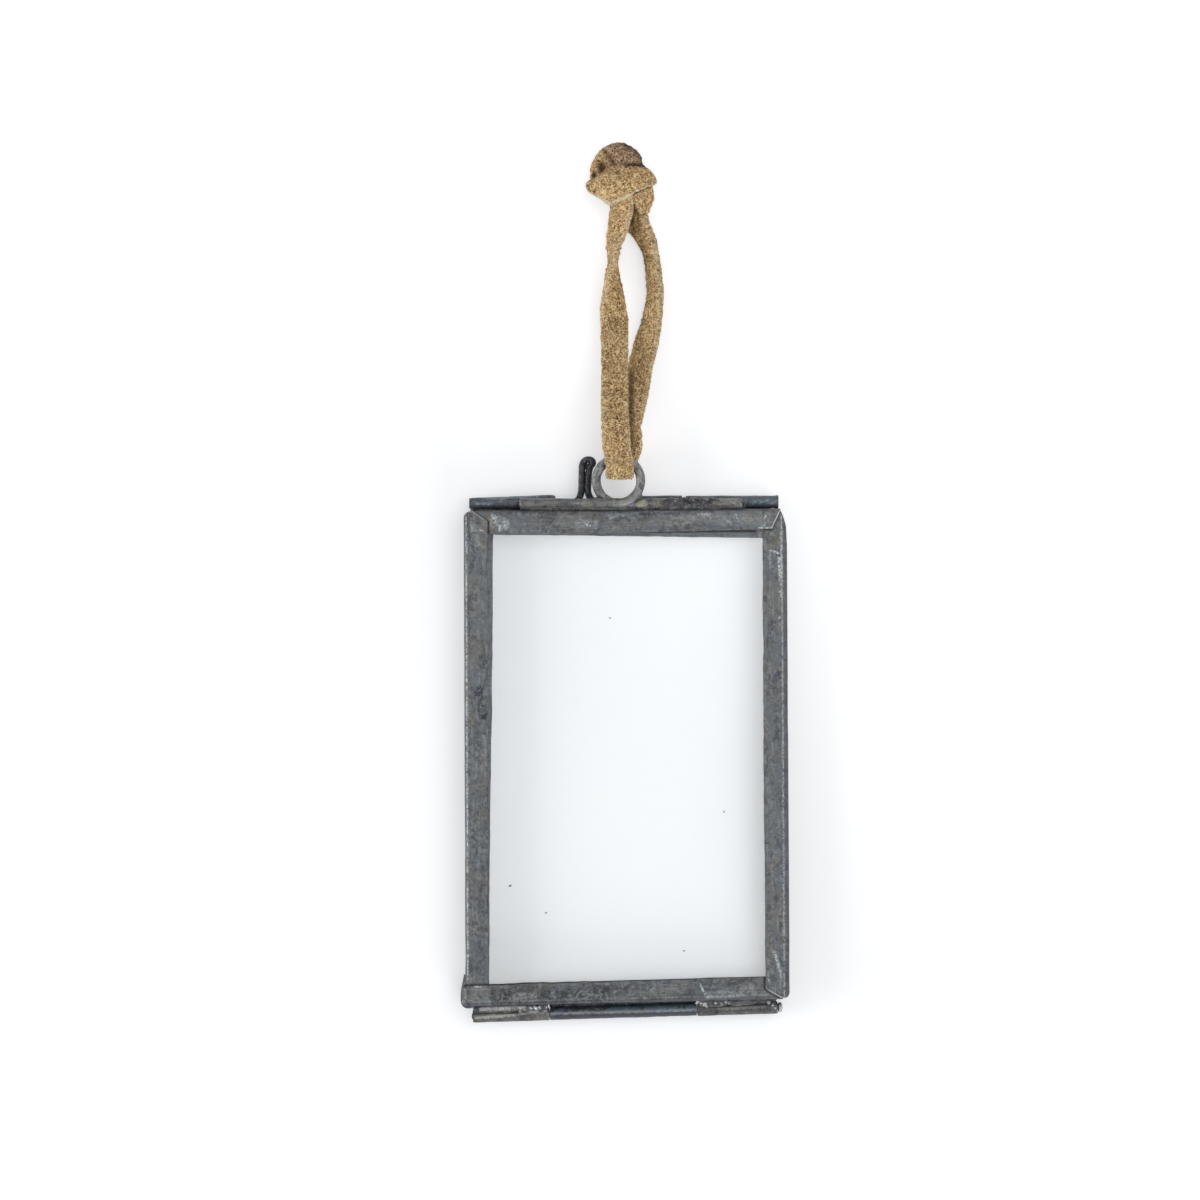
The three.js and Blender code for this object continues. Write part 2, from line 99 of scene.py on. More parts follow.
# Lace route, as in CAD: x and y from the top of the ring's turn, z from the floor, roll in
# degrees. The front strand runs from the knot to the ring and the back one from the ring.
LACE_FRONT = [
    (0.4, 45.8, 3.9, 42), (-0.2, 42.9, 3.4, 52), (-0.9, 39.9, 3, 70), (-1.0, 37.2, 2.9, 84),
    (-1.15, 34, 2.9, 110), (-1.1, 31.1, 2.8, 127), (-1, 28.1, 2.6, 150), (-0.8, 25.1, 2.9, 168),
    (-0.7, 20.7, 4, 177), (-0.7, 14.4, 6, 180), (-0.7, 9.4, 7.5, 180), (-0.5, 5, 8.5, 180),
]
LACE_BACK = [
    (1.85, 3.4, 4.7, 174), (1.7, 6.2, 4.1, 170), (2.45, 9.6, 3.4, 162), (3.25, 13, 2.8, 155),
    (4.2, 18, 2.4, 146), (5.3, 22.2, 2.5, 139), (6.0, 25.1, 2.6, 129), (6.5, 28.1, 2.7, 120),
    (6.7, 31.1, 2.7, 116), (6.5, 34, 2.7, 114), (6.15, 37, 2.6, 113), (5.4, 40, 2.5, 118),
    (3.95, 42.9, 2.2, 130), (2.8, 45.8, 1.7, 160),
]
FOLD_X = 0.25
FOLD_Y = -1.2
FOLD_RADIUS = 1.8
FOLD_STEPS = 6

# A leaf's outer corners as bent by hand: x, and y from the leaves' top edge
CORNERS = {
    "top_left": (-30.09, 0.05),
    "top_right": (29.8, 0.5),
    "bottom_right": (30.35, -90.4),
    "bottom_left": (-29.74, -91.8),
}


def length_property(name, description, default):
    """A length that the user can change, in metres."""
    return bpy.props.FloatProperty(
        name=name, description=description, default=default, precision=5, unit="LENGTH")


def colour_property(name, description, default):
    """A colour that the user can change."""
    return bpy.props.FloatVectorProperty(
        name=name, description=description, default=default, size=3, min=0, max=1,
        subtype="COLOR")


def power_property(name, description, default):
    """A lamp's power that the user can change, in watts."""
    return bpy.props.FloatProperty(
        name=name, description=description, default=default, unit="POWER")


class FrameSizes(bpy.types.PropertyGroup):
    """Sizes of the handmade details."""

    sheet: length_property("Came sheet", "Thickness of the folded zinc sheet", 0.00045)
    fold: length_property("Fold radius", "Outer radius of the came's folds", 0.0007)
    lap: length_property("Lap step", "How far a strip dips under its neighbour's lap", 0.00016)
    wander: length_property(
        "Edge wander", "How far the hand-cut edges leave a straight line", 0.00008)
    lace_width: length_property("Lace width", "Width of the flat suede lace", 0.005)
    lace_thickness: length_property("Lace thickness", "Thickness of the suede lace", 0.0017)
    nap: length_property("Nap height", "Height of the suede's raised fibres", 0.00022)


class FrameColours(bpy.types.PropertyGroup):
    """Colours of the finishes, in linear light."""

    zinc: colour_property("Zinc", "Cool patina of the came", (0.164, 0.181, 0.198))
    zinc_warm: colour_property("Warm zinc", "Browner patina of the came", (0.19, 0.188, 0.182))
    zinc_dark: colour_property("Dark zinc", "Stains on the came", (0.06, 0.066, 0.078))
    # Rubbed zinc is also the colour of the painted highlights along the folds and cut ends
    zinc_pale: colour_property("Rubbed zinc", "Worn folds and oxide", (0.6, 0.64, 0.64))
    tube: colour_property("Tube", "Darker zinc of the rolled tubes", (0.113, 0.121, 0.14))
    wire: colour_property("Wire", "Wire of the ring", (0.295, 0.3, 0.305))
    solder: colour_property("Solder", "Dull solder", (0.135, 0.132, 0.126))
    flux: colour_property("Flux", "Pale crust on the solder", (0.33, 0.31, 0.23))
    suede: colour_property("Suede", "Nap of the lace", (0.5, 0.262, 0.094))
    suede_dark: colour_property("Suede shadow", "Depths between its fibres", (0.07, 0.03, 0.011))
    suede_pale: colour_property("Suede fibres", "Lit fibre tips", (1.0, 0.75, 0.405))
    hide: colour_property("Hide", "Darker side of the lace in the knot", (0.24, 0.108, 0.056))
    glass: colour_property("Glass", "Tint of the panes", (0.972, 0.979, 0.981))


class StageSettings(bpy.types.PropertyGroup):
    """Camera, lamps and floor."""

    camera_height: length_property(
        "Camera height", "Height of the camera above the front leaf", 1.0)
    view_width: length_property(
        "View width", "Width that the camera takes in at the front leaf", 0.22222)
    key_power: power_property("Softbox", "Power of the wide lamp overhead, to the right", 5.6)
    side_power: power_property(
        "Side lamps", "Power of the low lamps at the left and lower right", 4.0)
    sky: bpy.props.FloatProperty(
        name="Sky", description="Strength of the even light from all round", default=0.45)
    floor_glow: bpy.props.FloatProperty(
        name="Floor glow", description="White added to the floor where it is seen",
        default=0.345)


# Shader building


class Field:
    """One socket of a shader. Maths on fields adds the nodes that work it out."""

    def __init__(self, shader, socket):
        self.shader = shader
        self.socket = socket

    def maths(self, operation, *values, clamp=False):
        return self.shader.node(
            "ShaderNodeMath", {"operation": operation, "use_clamp": clamp},
            dict(enumerate(values)))

    def __add__(self, other):
        return self.maths("ADD", self, other)

    __radd__ = __add__

    def __sub__(self, other):
        return self.maths("SUBTRACT", self, other)

    def __rsub__(self, other):
        return self.maths("SUBTRACT", other, self)

    def __mul__(self, other):
        return self.maths("MULTIPLY", self, other)

    __rmul__ = __mul__

    def clamped(self):
        return self.maths("ADD", self, 0.0, clamp=True)

    def larger(self, other):
        return self.maths("MAXIMUM", self, other)

    def size(self):
        """The value without its sign."""
        return self.maths("ABSOLUTE", self)


class Shader:
    """The nodes of one material, or of the sky."""

    def __init__(self, name, is_sky=False):
        self.owner = (bpy.data.worlds if is_sky else bpy.data.materials).new(name)
        self.owner.use_nodes = True
        self.output = "ShaderNodeOutputWorld" if is_sky else "ShaderNodeOutputMaterial"
        self.tree = self.owner.node_tree
        self.tree.nodes.clear()

    def node(self, kind, settings=None, inputs=None, output=0):
        """A new node: its settings are set first, then its sockets' values or links."""
        made = self.tree.nodes.new(kind)
        for key, value in (settings or {}).items():
            setattr(made, key, value)
        for key, value in (inputs or {}).items():
            if isinstance(value, Field):
                self.tree.links.new(value.socket, made.inputs[key])
            else:
                made.inputs[key].default_value = value
        # An output node has no sockets to go on from
        return Field(self, made.outputs[output]) if made.outputs else None

    def place(self):
        """Where a point lies in the piece, in metres."""
        return self.node("ShaderNodeTexCoord", output="Object")

    def stored(self, name, output="Fac"):
        """A value that the mesh stores at its points."""
        return self.node("ShaderNodeAttribute", {"attribute_name": name}, output=output)

    def part_of(self, vector, axis):
        """A vector's X, Y or Z."""
        return self.node("ShaderNodeSeparateXYZ", None, {0: vector}, output=axis)

    def stretched(self, vector, factors, shift=(0, 0, 0)):
        """A vector times factors, moved by shift."""
        return self.node(
            "ShaderNodeVectorMath", {"operation": "MULTIPLY_ADD"},
            {0: vector, 1: factors, 2: shift})

    def noise(self, vector, scale, detail=3.0, roughness=0.55, distortion=0.0):
        """Cloudy values that lie close round 0.5."""
        return self.node(
            "ShaderNodeTexNoise", None,
            {"Vector": vector, "Scale": scale, "Detail": detail, "Roughness": roughness,
             "Distortion": distortion})

    def step(self, value, low, high):
        """0 below low, 1 above high and smooth between them. low may be the larger."""
        return self.node(
            "ShaderNodeMapRange", {"interpolation_type": "SMOOTHSTEP"},
            {0: value, 1: low, 2: high})

    def mix(self, factor, first, second):
        """first where factor is 0 and second where it is 1."""
        colours = [c if isinstance(c, Field) else (*c, 1.0) for c in (first, second)]
        return self.node(
            "ShaderNodeMix", {"data_type": "RGBA"}, {0: factor, 6: colours[0], 7: colours[1]},
            output=2)

    def bump(self, height, depth, strength):
        """A normal that follows height, whose full swing is depth metres."""
        return self.node(
            "ShaderNodeBump", None, {"Height": height, "Distance": depth, "Strength": strength})

    def surface(self, **inputs):
        """The Principled shader, with inputs by socket name and spaces written as _."""
        named = {key.replace("_", " "): value for key, value in inputs.items()}
        return self.node("ShaderNodeBsdfPrincipled", None, named)

    def mix_shaders(self, factor, first, second):
        """The shader first where factor is 0 and second where it is 1."""
        return self.node("ShaderNodeMixShader", None, {0: factor, 1: first, 2: second})

    def ray(self, kind):
        """1 for rays of a kind, such as Camera, and 0 for others."""
        return self.node("ShaderNodeLightPath", output=f"Is {kind} Ray")

    def finish(self, surface):
        """Joins the surface to the output and returns the material, or the sky."""
        self.node(self.output, None, {"Surface": surface})
        return self.owner


def sizes():
    """The handmade details' sizes, in metres."""
    return bpy.context.scene.hanging_frame_sizes


def colours():
    """The finishes' colours."""
    return bpy.context.scene.hanging_frame_colours


def stage_settings():
    """The camera's, lamps' and floor's settings."""
    return bpy.context.scene.hanging_frame_stage


# Rubs on the front came: start, end (x, and y from the leaves' top edge), half width and strength.
# A wide one shows as a patch of flecks.
RUBS = [
    (-28.0, -3.5, -26.3, -3.6, 0.17, 1.0), (-28.6, -1.6, -27.2, -6.5, 0.5, 0.35),
    (-24.6, -0.9, -23.9, -2.9, 0.36, 1.0), (-23.6, -1.9, -23.2, -3.6, 0.36, 1.0),
    (-25.0, -0.8, -23.2, -1.3, 0.3, 0.9), (-22.9, -2.9, -21.9, -3.3, 0.3, 0.8),
    (-22.6, -1.0, -22.4, -3.0, 0.24, 0.9), (-25.4, -2.2, -21.6, -2.4, 0.9, 0.45),
    (-8.6, -1.5, -7.6, -1.9, 0.16, 0.9), (-8.0, -1.7, -7.0, -2.8, 0.15, 1.0),
    (-7.2, -2.4, -5.4, -3.3, 0.15, 1.0), (-9.4, -2.4, -5.0, -2.2, 0.7, 0.35),
    (-3.2, -1.5, -1.9, -0.9, 0.15, 0.6), (-1.8, -0.9, -0.3, -0.7, 0.15, 0.6),
    (-3.6, -0.8, 1.4, -0.7, 0.3, 0.25), (13.3, -0.7, 15.8, -0.6, 0.3, 0.75),
    (15.3, -0.4, 15.8, -1.4, 0.16, 0.9), (20.4, -0.6, 20.8, -1.4, 0.22, 1.0),
    (18.6, -1.6, 19.6, -2.6, 0.35, 0.5), (10.0, -1.1, 27.0, -1.6, 1.1, 0.22),
    (25.9, -0.6, 25.4, -2.9, 0.34, 0.85), (24.6, -3.05, 27.4, -3.05, 0.16, 1.0),
    (26.6, -7.2, 28.6, -7.9, 0.22, 1.0), (28.75, -4.0, 28.75, -16.0, 0.22, 0.95),
    (28.3, -8.4, 28.55, -13.0, 0.26, 1.0), (26.6, -7.6, 26.8, -11.0, 0.2, 0.35),
    (28.3, -19.4, 28.6, -20.0, 0.3, 0.7), (27.4, -81.5, 28.4, -84.3, 0.28, 0.9),
    (28.3, -84.2, 28.9, -86.4, 0.22, 0.9), (26.2, -85.6, 26.5, -87.2, 0.2, 0.7),
    (13.6, -87.4, 15.2, -90.2, 0.15, 1.0), (15.0, -90.0, 22.0, -89.6, 0.3, 0.5),
    (17.0, -89.0, 23.6, -88.4, 0.8, 0.25), (-28.0, -87.95, -26.9, -88.1, 0.18, 0.95),
    (-29.9, -88.4, -29.6, -90.2, 0.25, 0.5), (-21.0, -89.9, -16.5, -89.7, 0.7, 0.35),
]
# Dark patches on the front came, in the same form
SOOT = [
    (-27.4, -32.4, -26.4, -38.6, 0.9, 0.85), (-26.9, -26.4, -26.7, -28.8, 0.3, 0.6),
    (-27.2, -41.0, -27.4, -46.0, 0.8, 0.4), (-27.0, -52.0, -27.2, -86.0, 1.6, 0.2),
    (-25.0, -90.2, -3.0, -89.6, 1.9, 0.75), (0.0, -89.4, 26.0, -88.8, 1.9, 0.3),
    (-21.5, -88.3, -17.0, -88.2, 1.0, 0.55), (-9.0, -88.3, 4.0, -87.8, 1.0, 0.35),
    (11.5, -87.0, 14.6, -86.9, 0.5, 0.5), (18.5, -87.2, 24.5, -87.2, 0.9, 0.5),
    (-29.6, -88.0, -29.0, -92.0, 0.5, 0.5), (-7.5, -1.0, 5.0, -0.8, 0.8, 0.35),
    (3.0, -0.5, 15.0, -0.5, 0.35, 0.6), (-25.5, -0.4, -8.0, -0.3, 0.3, 0.5),
    (27.4, -20.0, 27.0, -24.5, 0.5, 0.35), (26.6, -86.0, 27.8, -87.0, 0.7, 0.4),
]
# Crust on the ring's tails and solder, in the same form; the last two are painted glints on the
# right side of the ring's turn
CRUSTS_AND_GLINTS = [
    (-19.2, 1.3, -17.4, 1.4, 0.6, 0.35), (-15.0, 1.6, -12.2, 1.7, 0.3, 0.35),
    (-8.1, 1.3, -6.3, 1.2, 0.75, 0.7), (-5.2, 3.4, -4.4, 2.9, 0.35, 0.6),
    (-2.9, 2.0, -1.0, 1.9, 0.4, 0.3), (-0.6, 0.9, 0.8, 3.2, 0.6, 0.55),
    (4.9, 1.8, 7.0, 1.4, 0.7, 0.4), (16.0, 1.7, 21.3, 1.6, 0.55, 0.5),
    (2.6, 6.6, 2.9, 5.2, 0.2, 0.8), (2.0, 4.9, 2.4, 4.2, 0.2, 0.8),
]
# Dark patches on the ring's wire; the last is painted shade down the left side of its turn
RING_DARKENING = [
    (-19.6, 1.4, -2.4, 1.4, 1.0, 0.5), (-13.2, 1.1, -9.6, 1.1, 0.8, 0.7),
    (1.4, 1.4, 7.6, 1.4, 1.2, 0.5), (-5.1, 4.2, -4.6, 3.0, 0.3, 0.6),
    (-2.0, 2.2, 0.6, 2.3, 0.3, 0.4), (-5.5, 3.4, -5.3, 7.6, 0.7, 0.3),
]
# Bluish bloom on the latch tubes
BLOOM = [
    (22.6, 1.1, 23.3, 0.9, 0.14, 0.7), (23.4, 1.2, 24.3, 2.0, 0.16, 1.0),
    (24.4, 2.2, 25.4, 1.5, 0.16, 1.0), (25.7, 1.6, 26.6, 2.4, 0.15, 0.9),
    (26.6, 1.3, 27.9, 1.7, 0.2, 0.9), (23.0, 1.7, 28.2, 1.8, 0.8, 0.3),
    (-27.9, 1.4, -27.1, 1.3, 0.17, 1.0), (-26.7, 1.3, -26.1, 1.4, 0.15, 1.0),
    (-25.8, 1.15, -25.2, 1.25, 0.17, 1.0), (-28.0, 1.4, -24.8, 1.3, 0.4, 0.3),
    (-26.0, 2.3, -15.0, 2.9, 0.2, 0.45),
]
# Painted highlights along the outer knuckles and their solder, a darker stretch of the right
# knuckle, and painted shade in the hollow at the left end of the left knuckle's seam
BARREL_HIGHLIGHTS = [
    (-27.2, -92.4, -18.6, -92.05, 0.34, 1.0), (-28.0, -94.0, -20.4, -93.5, 0.25, 1.0),
    (-20.0, -93.2, -14.6, -92.8, 0.25, 0.7), (17.0, -92.4, 26.0, -91.9, 0.25, 0.3),
]
RIGHT_KNUCKLE_DARKENING = [(14.5, -92.4, 27.0, -92.0, 1.1, 0.5)]
SEAM_HOLLOW_SHADE = [(-28.4, -91.9, -26.9, -92.1, 0.5, 0.8)]
# Painted highlight along the middle knuckle and painted shade on its lower side
KNUCKLE_LIGHT = [(-14.0, -93.25, 12.8, -92.55, 0.2, 0.6)]
KNUCKLE_SHADE = [(-14.2, -93.8, 13.0, -93.2, 0.55, 0.7)]
# Brown stains on the front came
STAINS = [
    (-25.6, -0.6, -25.0, -4.0, 1.0, 1.0), (22.0, -1.4, 23.6, -2.2, 0.8, 0.6),
    (27.6, -4.6, 27.8, -6.6, 1.0, 0.6), (-12.5, -0.6, -4.0, -0.5, 0.8, 0.5),
    (-24.0, -88.2, -14.0, -88.0, 1.2, 0.5), (20.0, -86.6, 26.0, -87.6, 1.0, 0.6),
]


def strokes(shader, place, marks, ragged):
    """A mask of soft strokes, with their edges pushed about by ragged."""
    mask = None
    x = shader.part_of(place, "X")
    y = shader.part_of(place, "Y")
    push = (ragged - 0.5) * (1.1 * MM)
    soft_end = 0.3
    for x1, y1, x2, y2, half_width, strength in marks:
        length = math.hypot(x2 - x1, y2 - y1)
        ux, uy = (x2 - x1) / length, (y2 - y1) / length
        mid_x, mid_y = (x1 + x2) / 2, (y1 + y2) / 2 + LEAF_TOP
        run = x * ux + (y * uy - (mid_x * ux + mid_y * uy) * MM)
        side = x * -uy + (y * ux - (mid_y * ux - mid_x * uy) * MM)
        across = shader.step((side + push).size(), half_width * 1.5 * MM, half_width * 0.4 * MM)
        endways = shader.step(
            run.size(), (length / 2 + soft_end) * MM, (length / 2 - soft_end) * MM)
        line = across * endways * strength
        mask = line if mask is None else mask.larger(line)
    return mask


# Colours that go with the finishes and have no setting
BLUISH_OXIDE = (0.36, 0.45, 0.47)
# Painted shade for the came's turned edges
TURNED_EDGE_SHADE = (0.1, 0.098, 0.12)
BROWN_STAIN = (0.2, 0.172, 0.135)
SOOT_BLACK = (0.035, 0.038, 0.048)
ZINC_GRIME = (0.02, 0.021, 0.026)
METAL_SPECKS = (0.5, 0.52, 0.53)
METAL_GRIME = (0.018, 0.019, 0.022)
FRAYED_EDGE = (1.0, 0.86, 0.6)
SUEDE_SHADE = (0.045, 0.024, 0.014)


def patinated_zinc(name, is_front):
    """Folded came: rolling streaks, cool and warm patina, dark blotches, grimy laps, painted shade
    on the turned edges, and painted highlights along the folds and cut ends, broken up like rubbed
    metal.
    The rear leaf's is bluer, with less handling."""
    tone = colours()
    s = Shader(name)
    place = s.place()
    run = s.stored("run", "Vector")
    fold_line = s.stored("fold_line")
    clouds = s.noise(s.stretched(run, (0.13, 0.32, 0.3)), 1.0, 4, 0.6, 0.5)
    mottle = s.noise(place, 900, 5, 0.7, 0.9)
    grain = s.noise(place, 4200, 3, 0.75)
    streaks = s.noise(s.stretched(run, (0.22, 3.4, 1.2)), 1.0, 3, 0.6, 0.3)
    scuffs = s.noise(s.stretched(run, (1.5, 2.2, 1)), 1.0, 5, 0.75, 1.5)
    warmth = clouds * 0.8 + streaks * 0.35 + mottle * 0.25
    warm = s.step(warmth, 0.64, 0.75)
    colour = s.mix(warm, tone.zinc, tone.zinc_warm if is_front else tone.zinc)
    # Blotches: rough-edged dark stains that follow the rolling direction
    blots = s.noise(s.stretched(run, (0.2, 0.42, 0.4), (7, 3, 1)), 1.0, 6, 0.72, 1.2)
    dark = s.step(blots * 0.8 + mottle * 0.35, 0.58, 0.68)
    colour = s.mix(dark * 0.6, colour, tone.zinc_dark)
    speckle = s.step(grain * 0.55 + mottle * 0.55, 0.55, 0.63)
    colour = s.mix(speckle * 0.38, colour, tone.zinc_dark)
    haze = s.step((1 - mottle) * 0.6 + streaks * 0.5, 0.56, 0.65)
    colour = s.mix(haze * 0.15, colour, tone.zinc_pale)
    if not is_front:
        pale_blue = s.step(scuffs * 0.7 + streaks * 0.4, 0.5, 0.6)
        colour = s.mix(pale_blue * 0.8, colour, BLUISH_OXIDE)
    # Painted shade on the turned edge, and a painted highlight along the fold beside it, broken up
    # in places like metal rubbed bare
    colour = s.mix(s.step(fold_line, -0.12, -0.4) * 0.5, colour, TURNED_EDGE_SHADE)
    fold = s.step(fold_line.size(), 0.22, 0.06)
    broken = s.step(scuffs * 0.75 + grain * 0.35, 0.53, 0.61)
    rub_and_highlight = fold * broken * s.stored("rub_and_highlight")
    flecks = s.step(grain * 0.75 + scuffs * 0.3, 0.62, 0.7) * 0.3
    rub_and_highlight = rub_and_highlight.larger(flecks)
    if is_front:
        ragged = s.noise(place, 1900, 4, 0.8, 0.6)
        broken_up = s.step(ragged * 0.6 + grain * 0.45, 0.49, 0.56)
        stain = strokes(s, place, STAINS, ragged) * 0.5
        colour = s.mix(stain, colour, BROWN_STAIN)
        soot = strokes(s, place, SOOT, ragged) * s.step(mottle * 0.7 + ragged * 0.4, 0.45, 0.6)
        colour = s.mix(soot, colour, SOOT_BLACK)
        rub_and_highlight = rub_and_highlight.larger(strokes(s, place, RUBS, ragged) * broken_up)
    # The lapping end's cut edge: bare metal with a painted highlight along it
    rub_and_highlight = rub_and_highlight.larger(s.stored("cut") * s.step(mottle + grain * 0.5, 0.64, 0.74))
    colour = s.mix(rub_and_highlight, colour, tone.zinc_pale)
    grime_and_shade = s.stored("grime_and_shade") * (0.75 + mottle * 0.5)
    colour = s.mix(grime_and_shade.clamped(), colour, ZINC_GRIME)
    height = grain * 0.35 + mottle * 0.5 + streaks * 0.5 + dark * 0.1
    return s.finish(s.surface(
        Base_Color=colour,
        Metallic=0.5,
        Roughness=(0.4 + mottle * 0.35 + grime_and_shade * 0.2 - rub_and_highlight * 0.1).clamped(),
        Normal=s.bump(height, 0.00014, 0.7),
    ))


# Depth of the bumps in tubes' and wires' skin and in solder's, in metres
SMOOTH = 0.0001
LUMPY = 0.0002


def dull_metal(name, base, dark, pale, dark_share, pale_share, metallic=0.5, relief=SMOOTH,
               marks=(), marked=None, dark_strokes=()):
    """Tubes, wires and solder: mottled metal with dark hollows and pale patches. Shares run from
    -1, few, to 1, most. marks are strokes of the colour marked, painted highlights and glints among
    them, and the dark strokes are of the dark one, painted shade among them."""
    s = Shader(name)
    place = s.place()
    clouds = s.noise(place, 380, 4, 0.62, 0.8)
    mottle = s.noise(place, 1500, 5, 0.7, 0.6)
    grain = s.noise(place, 5200, 3, 0.75)
    low = clouds * 0.5 + mottle * 0.5
    dark_from = 0.49 - dark_share * 0.05
    colour = s.mix(s.step(low, dark_from, dark_from + 0.07), base, dark)
    high = s.noise(place, 460, 4, 0.66, 1.0) * 0.55 + mottle * 0.45
    pale_from = 0.52 - pale_share * 0.05
    colour = s.mix(s.step(high, pale_from, pale_from + 0.07) * 0.7, colour, pale)
    pits = s.step(grain * 0.6 + mottle * 0.5, 0.56, 0.64)
    colour = s.mix(pits * 0.55, colour, dark)
    specks = s.step((1 - grain) * 0.75 + mottle * 0.35, 0.59, 0.66)
    colour = s.mix(specks * 0.4, colour, METAL_SPECKS)
    ragged = s.noise(place, 1700, 4, 0.8, 0.6)
    broken = s.step(ragged * 0.6 + grain * 0.45, 0.45, 0.56) * 0.8 + 0.2
    if dark_strokes:
        colour = s.mix(strokes(s, place, dark_strokes, ragged), colour, dark)
    if marks:
        colour = s.mix(strokes(s, place, marks, ragged) * broken, colour, marked)
    grime_and_shade = (s.stored("grime_and_shade") * (0.7 + mottle * 0.5)).clamped()
    colour = s.mix(grime_and_shade, colour, METAL_GRIME)
    height = clouds * 0.5 + mottle * 0.4 + grain * 0.25
    return s.finish(s.surface(
        Base_Color=colour,
        Metallic=metallic,
        Roughness=(0.32 + mottle * 0.32 + grime_and_shade * 0.3).clamped(),
        Normal=s.bump(height, relief, 0.8),
    ))


def clear_pane(name):
    """Plain picture glass. Rays from lamps pass it as they do real thin panes."""
    s = Shader(name)
    tint = (*colours().glass, 1.0)
    glass = s.surface(Base_Color=tint, Roughness=0.0, IOR=1.5, Transmission_Weight=1.0)
    through = s.node("ShaderNodeBsdfTransparent", None, {"Color": tint})
    return s.finish(s.mix_shaders(s.ray("Shadow"), glass, through))


def napped_suede(name, base, dark, pale, dark_share=0.0, turned=False):
    """Suede: matted fibres, with painted shade in the gaps between them and painted highlights
    along their tops and single curled fibres. turned is for a piece that also shows the lace's
    usual side."""
    s = Shader(name)
    place = s.place()
    tufts = s.noise(place, 1700, 2, 0.65, 3.0)
    fibres = s.noise(place, 4400, 2, 0.6, 1.4)
    patches = s.noise(place, 330, 3, 0.6, 0.6)
    fuzz = tufts * 0.7 + fibres * 0.3 - s.stored("hollow") * 0.04 + (patches - 0.5) * 0.16
    middle = 0.485 + dark_share * 0.03
    # Single fibres, which lie in curls, each with a painted highlight
    long_curls = (s.noise(place, 1250, 0, 0.5, 0.8) - 0.5).size()
    short_curls = (s.noise(place, 1900, 0, 0.5, 0.6) - 0.5).size()
    curls = s.step(long_curls, 0.058, 0.034).larger(s.step(short_curls, 0.05, 0.028))

    def nap_colour(base, dark, pale):
        shaded = s.mix(s.step(fuzz, middle, middle - 0.034), base, dark)
        lit = s.step(fuzz, middle + 0.014, middle + 0.045) * 0.4
        return s.mix(lit.larger(curls), shaded, pale)

    colour = nap_colour(base, dark, pale)
    if turned:
        tone = colours()
        colour = s.mix(
            s.stored("turned"), colour, nap_colour(tone.suede, tone.suede_dark, tone.suede_pale))
    frayed = s.mix(s.step(fuzz, 0.46, 0.5).larger(curls), base, FRAYED_EDGE)
    colour = s.mix(s.stored("cut_edge").clamped(), colour, frayed)
    # Painted shade in the knot's hollows, creases and crack, below its band and in the slits beside
    # the front strand, and the strands' darker stretches
    colour = s.mix((s.stored("grime_and_shade") * 0.85).clamped(), colour, SUEDE_SHADE)
    return s.finish(s.surface(
        Base_Color=colour,
        Roughness=0.95,
        Specular_IOR_Level=0.1,
        Sheen_Weight=0.05,
        Sheen_Roughness=0.5,
        Normal=s.bump(fuzz + curls * 0.25, 0.00035, 0.8),
    ))


def white_floor():
    """White paper that keeps the object's shadow and can't be seen from below."""
    s = Shader("white_floor")
    paper = s.node("ShaderNodeBsdfDiffuse", None, {"Color": (0.8, 0.8, 0.8, 1.0)})
    place = s.place()
    # Painted light: the floor glows brighter towards the upper right
    upper_right = s.step(s.part_of(place, "X") * 0.75 + s.part_of(place, "Y") * 0.65, 0.0, 0.09)
    glow = s.node(
        "ShaderNodeEmission", None,
        {"Color": (0.975, 0.98, 1.0, 1.0),
         "Strength": stage_settings().floor_glow + upper_right * 0.22})
    lit = s.node("ShaderNodeAddShader", None, {0: paper, 1: glow})
    seen = s.ray("Camera").larger(s.ray("Glossy")).larger(s.ray("Transmission"))
    below = s.node("ShaderNodeNewGeometry", output="Backfacing")
    nothing = s.node("ShaderNodeBsdfTransparent")
    return s.finish(s.mix_shaders(below, s.mix_shaders(seen, paper, lit), nothing))


def even_sky():
    """A sky that lights evenly and is white where it is seen."""
    s = Shader("even_sky", is_sky=True)
    light = s.node(
        "ShaderNodeBackground", None,
        {"Color": (0.96, 0.98, 1.0, 1.0), "Strength": stage_settings().sky})
    white = s.node("ShaderNodeBackground", None, {"Strength": 1.0})
    return s.finish(s.mix_shaders(s.ray("Camera"), light, white))


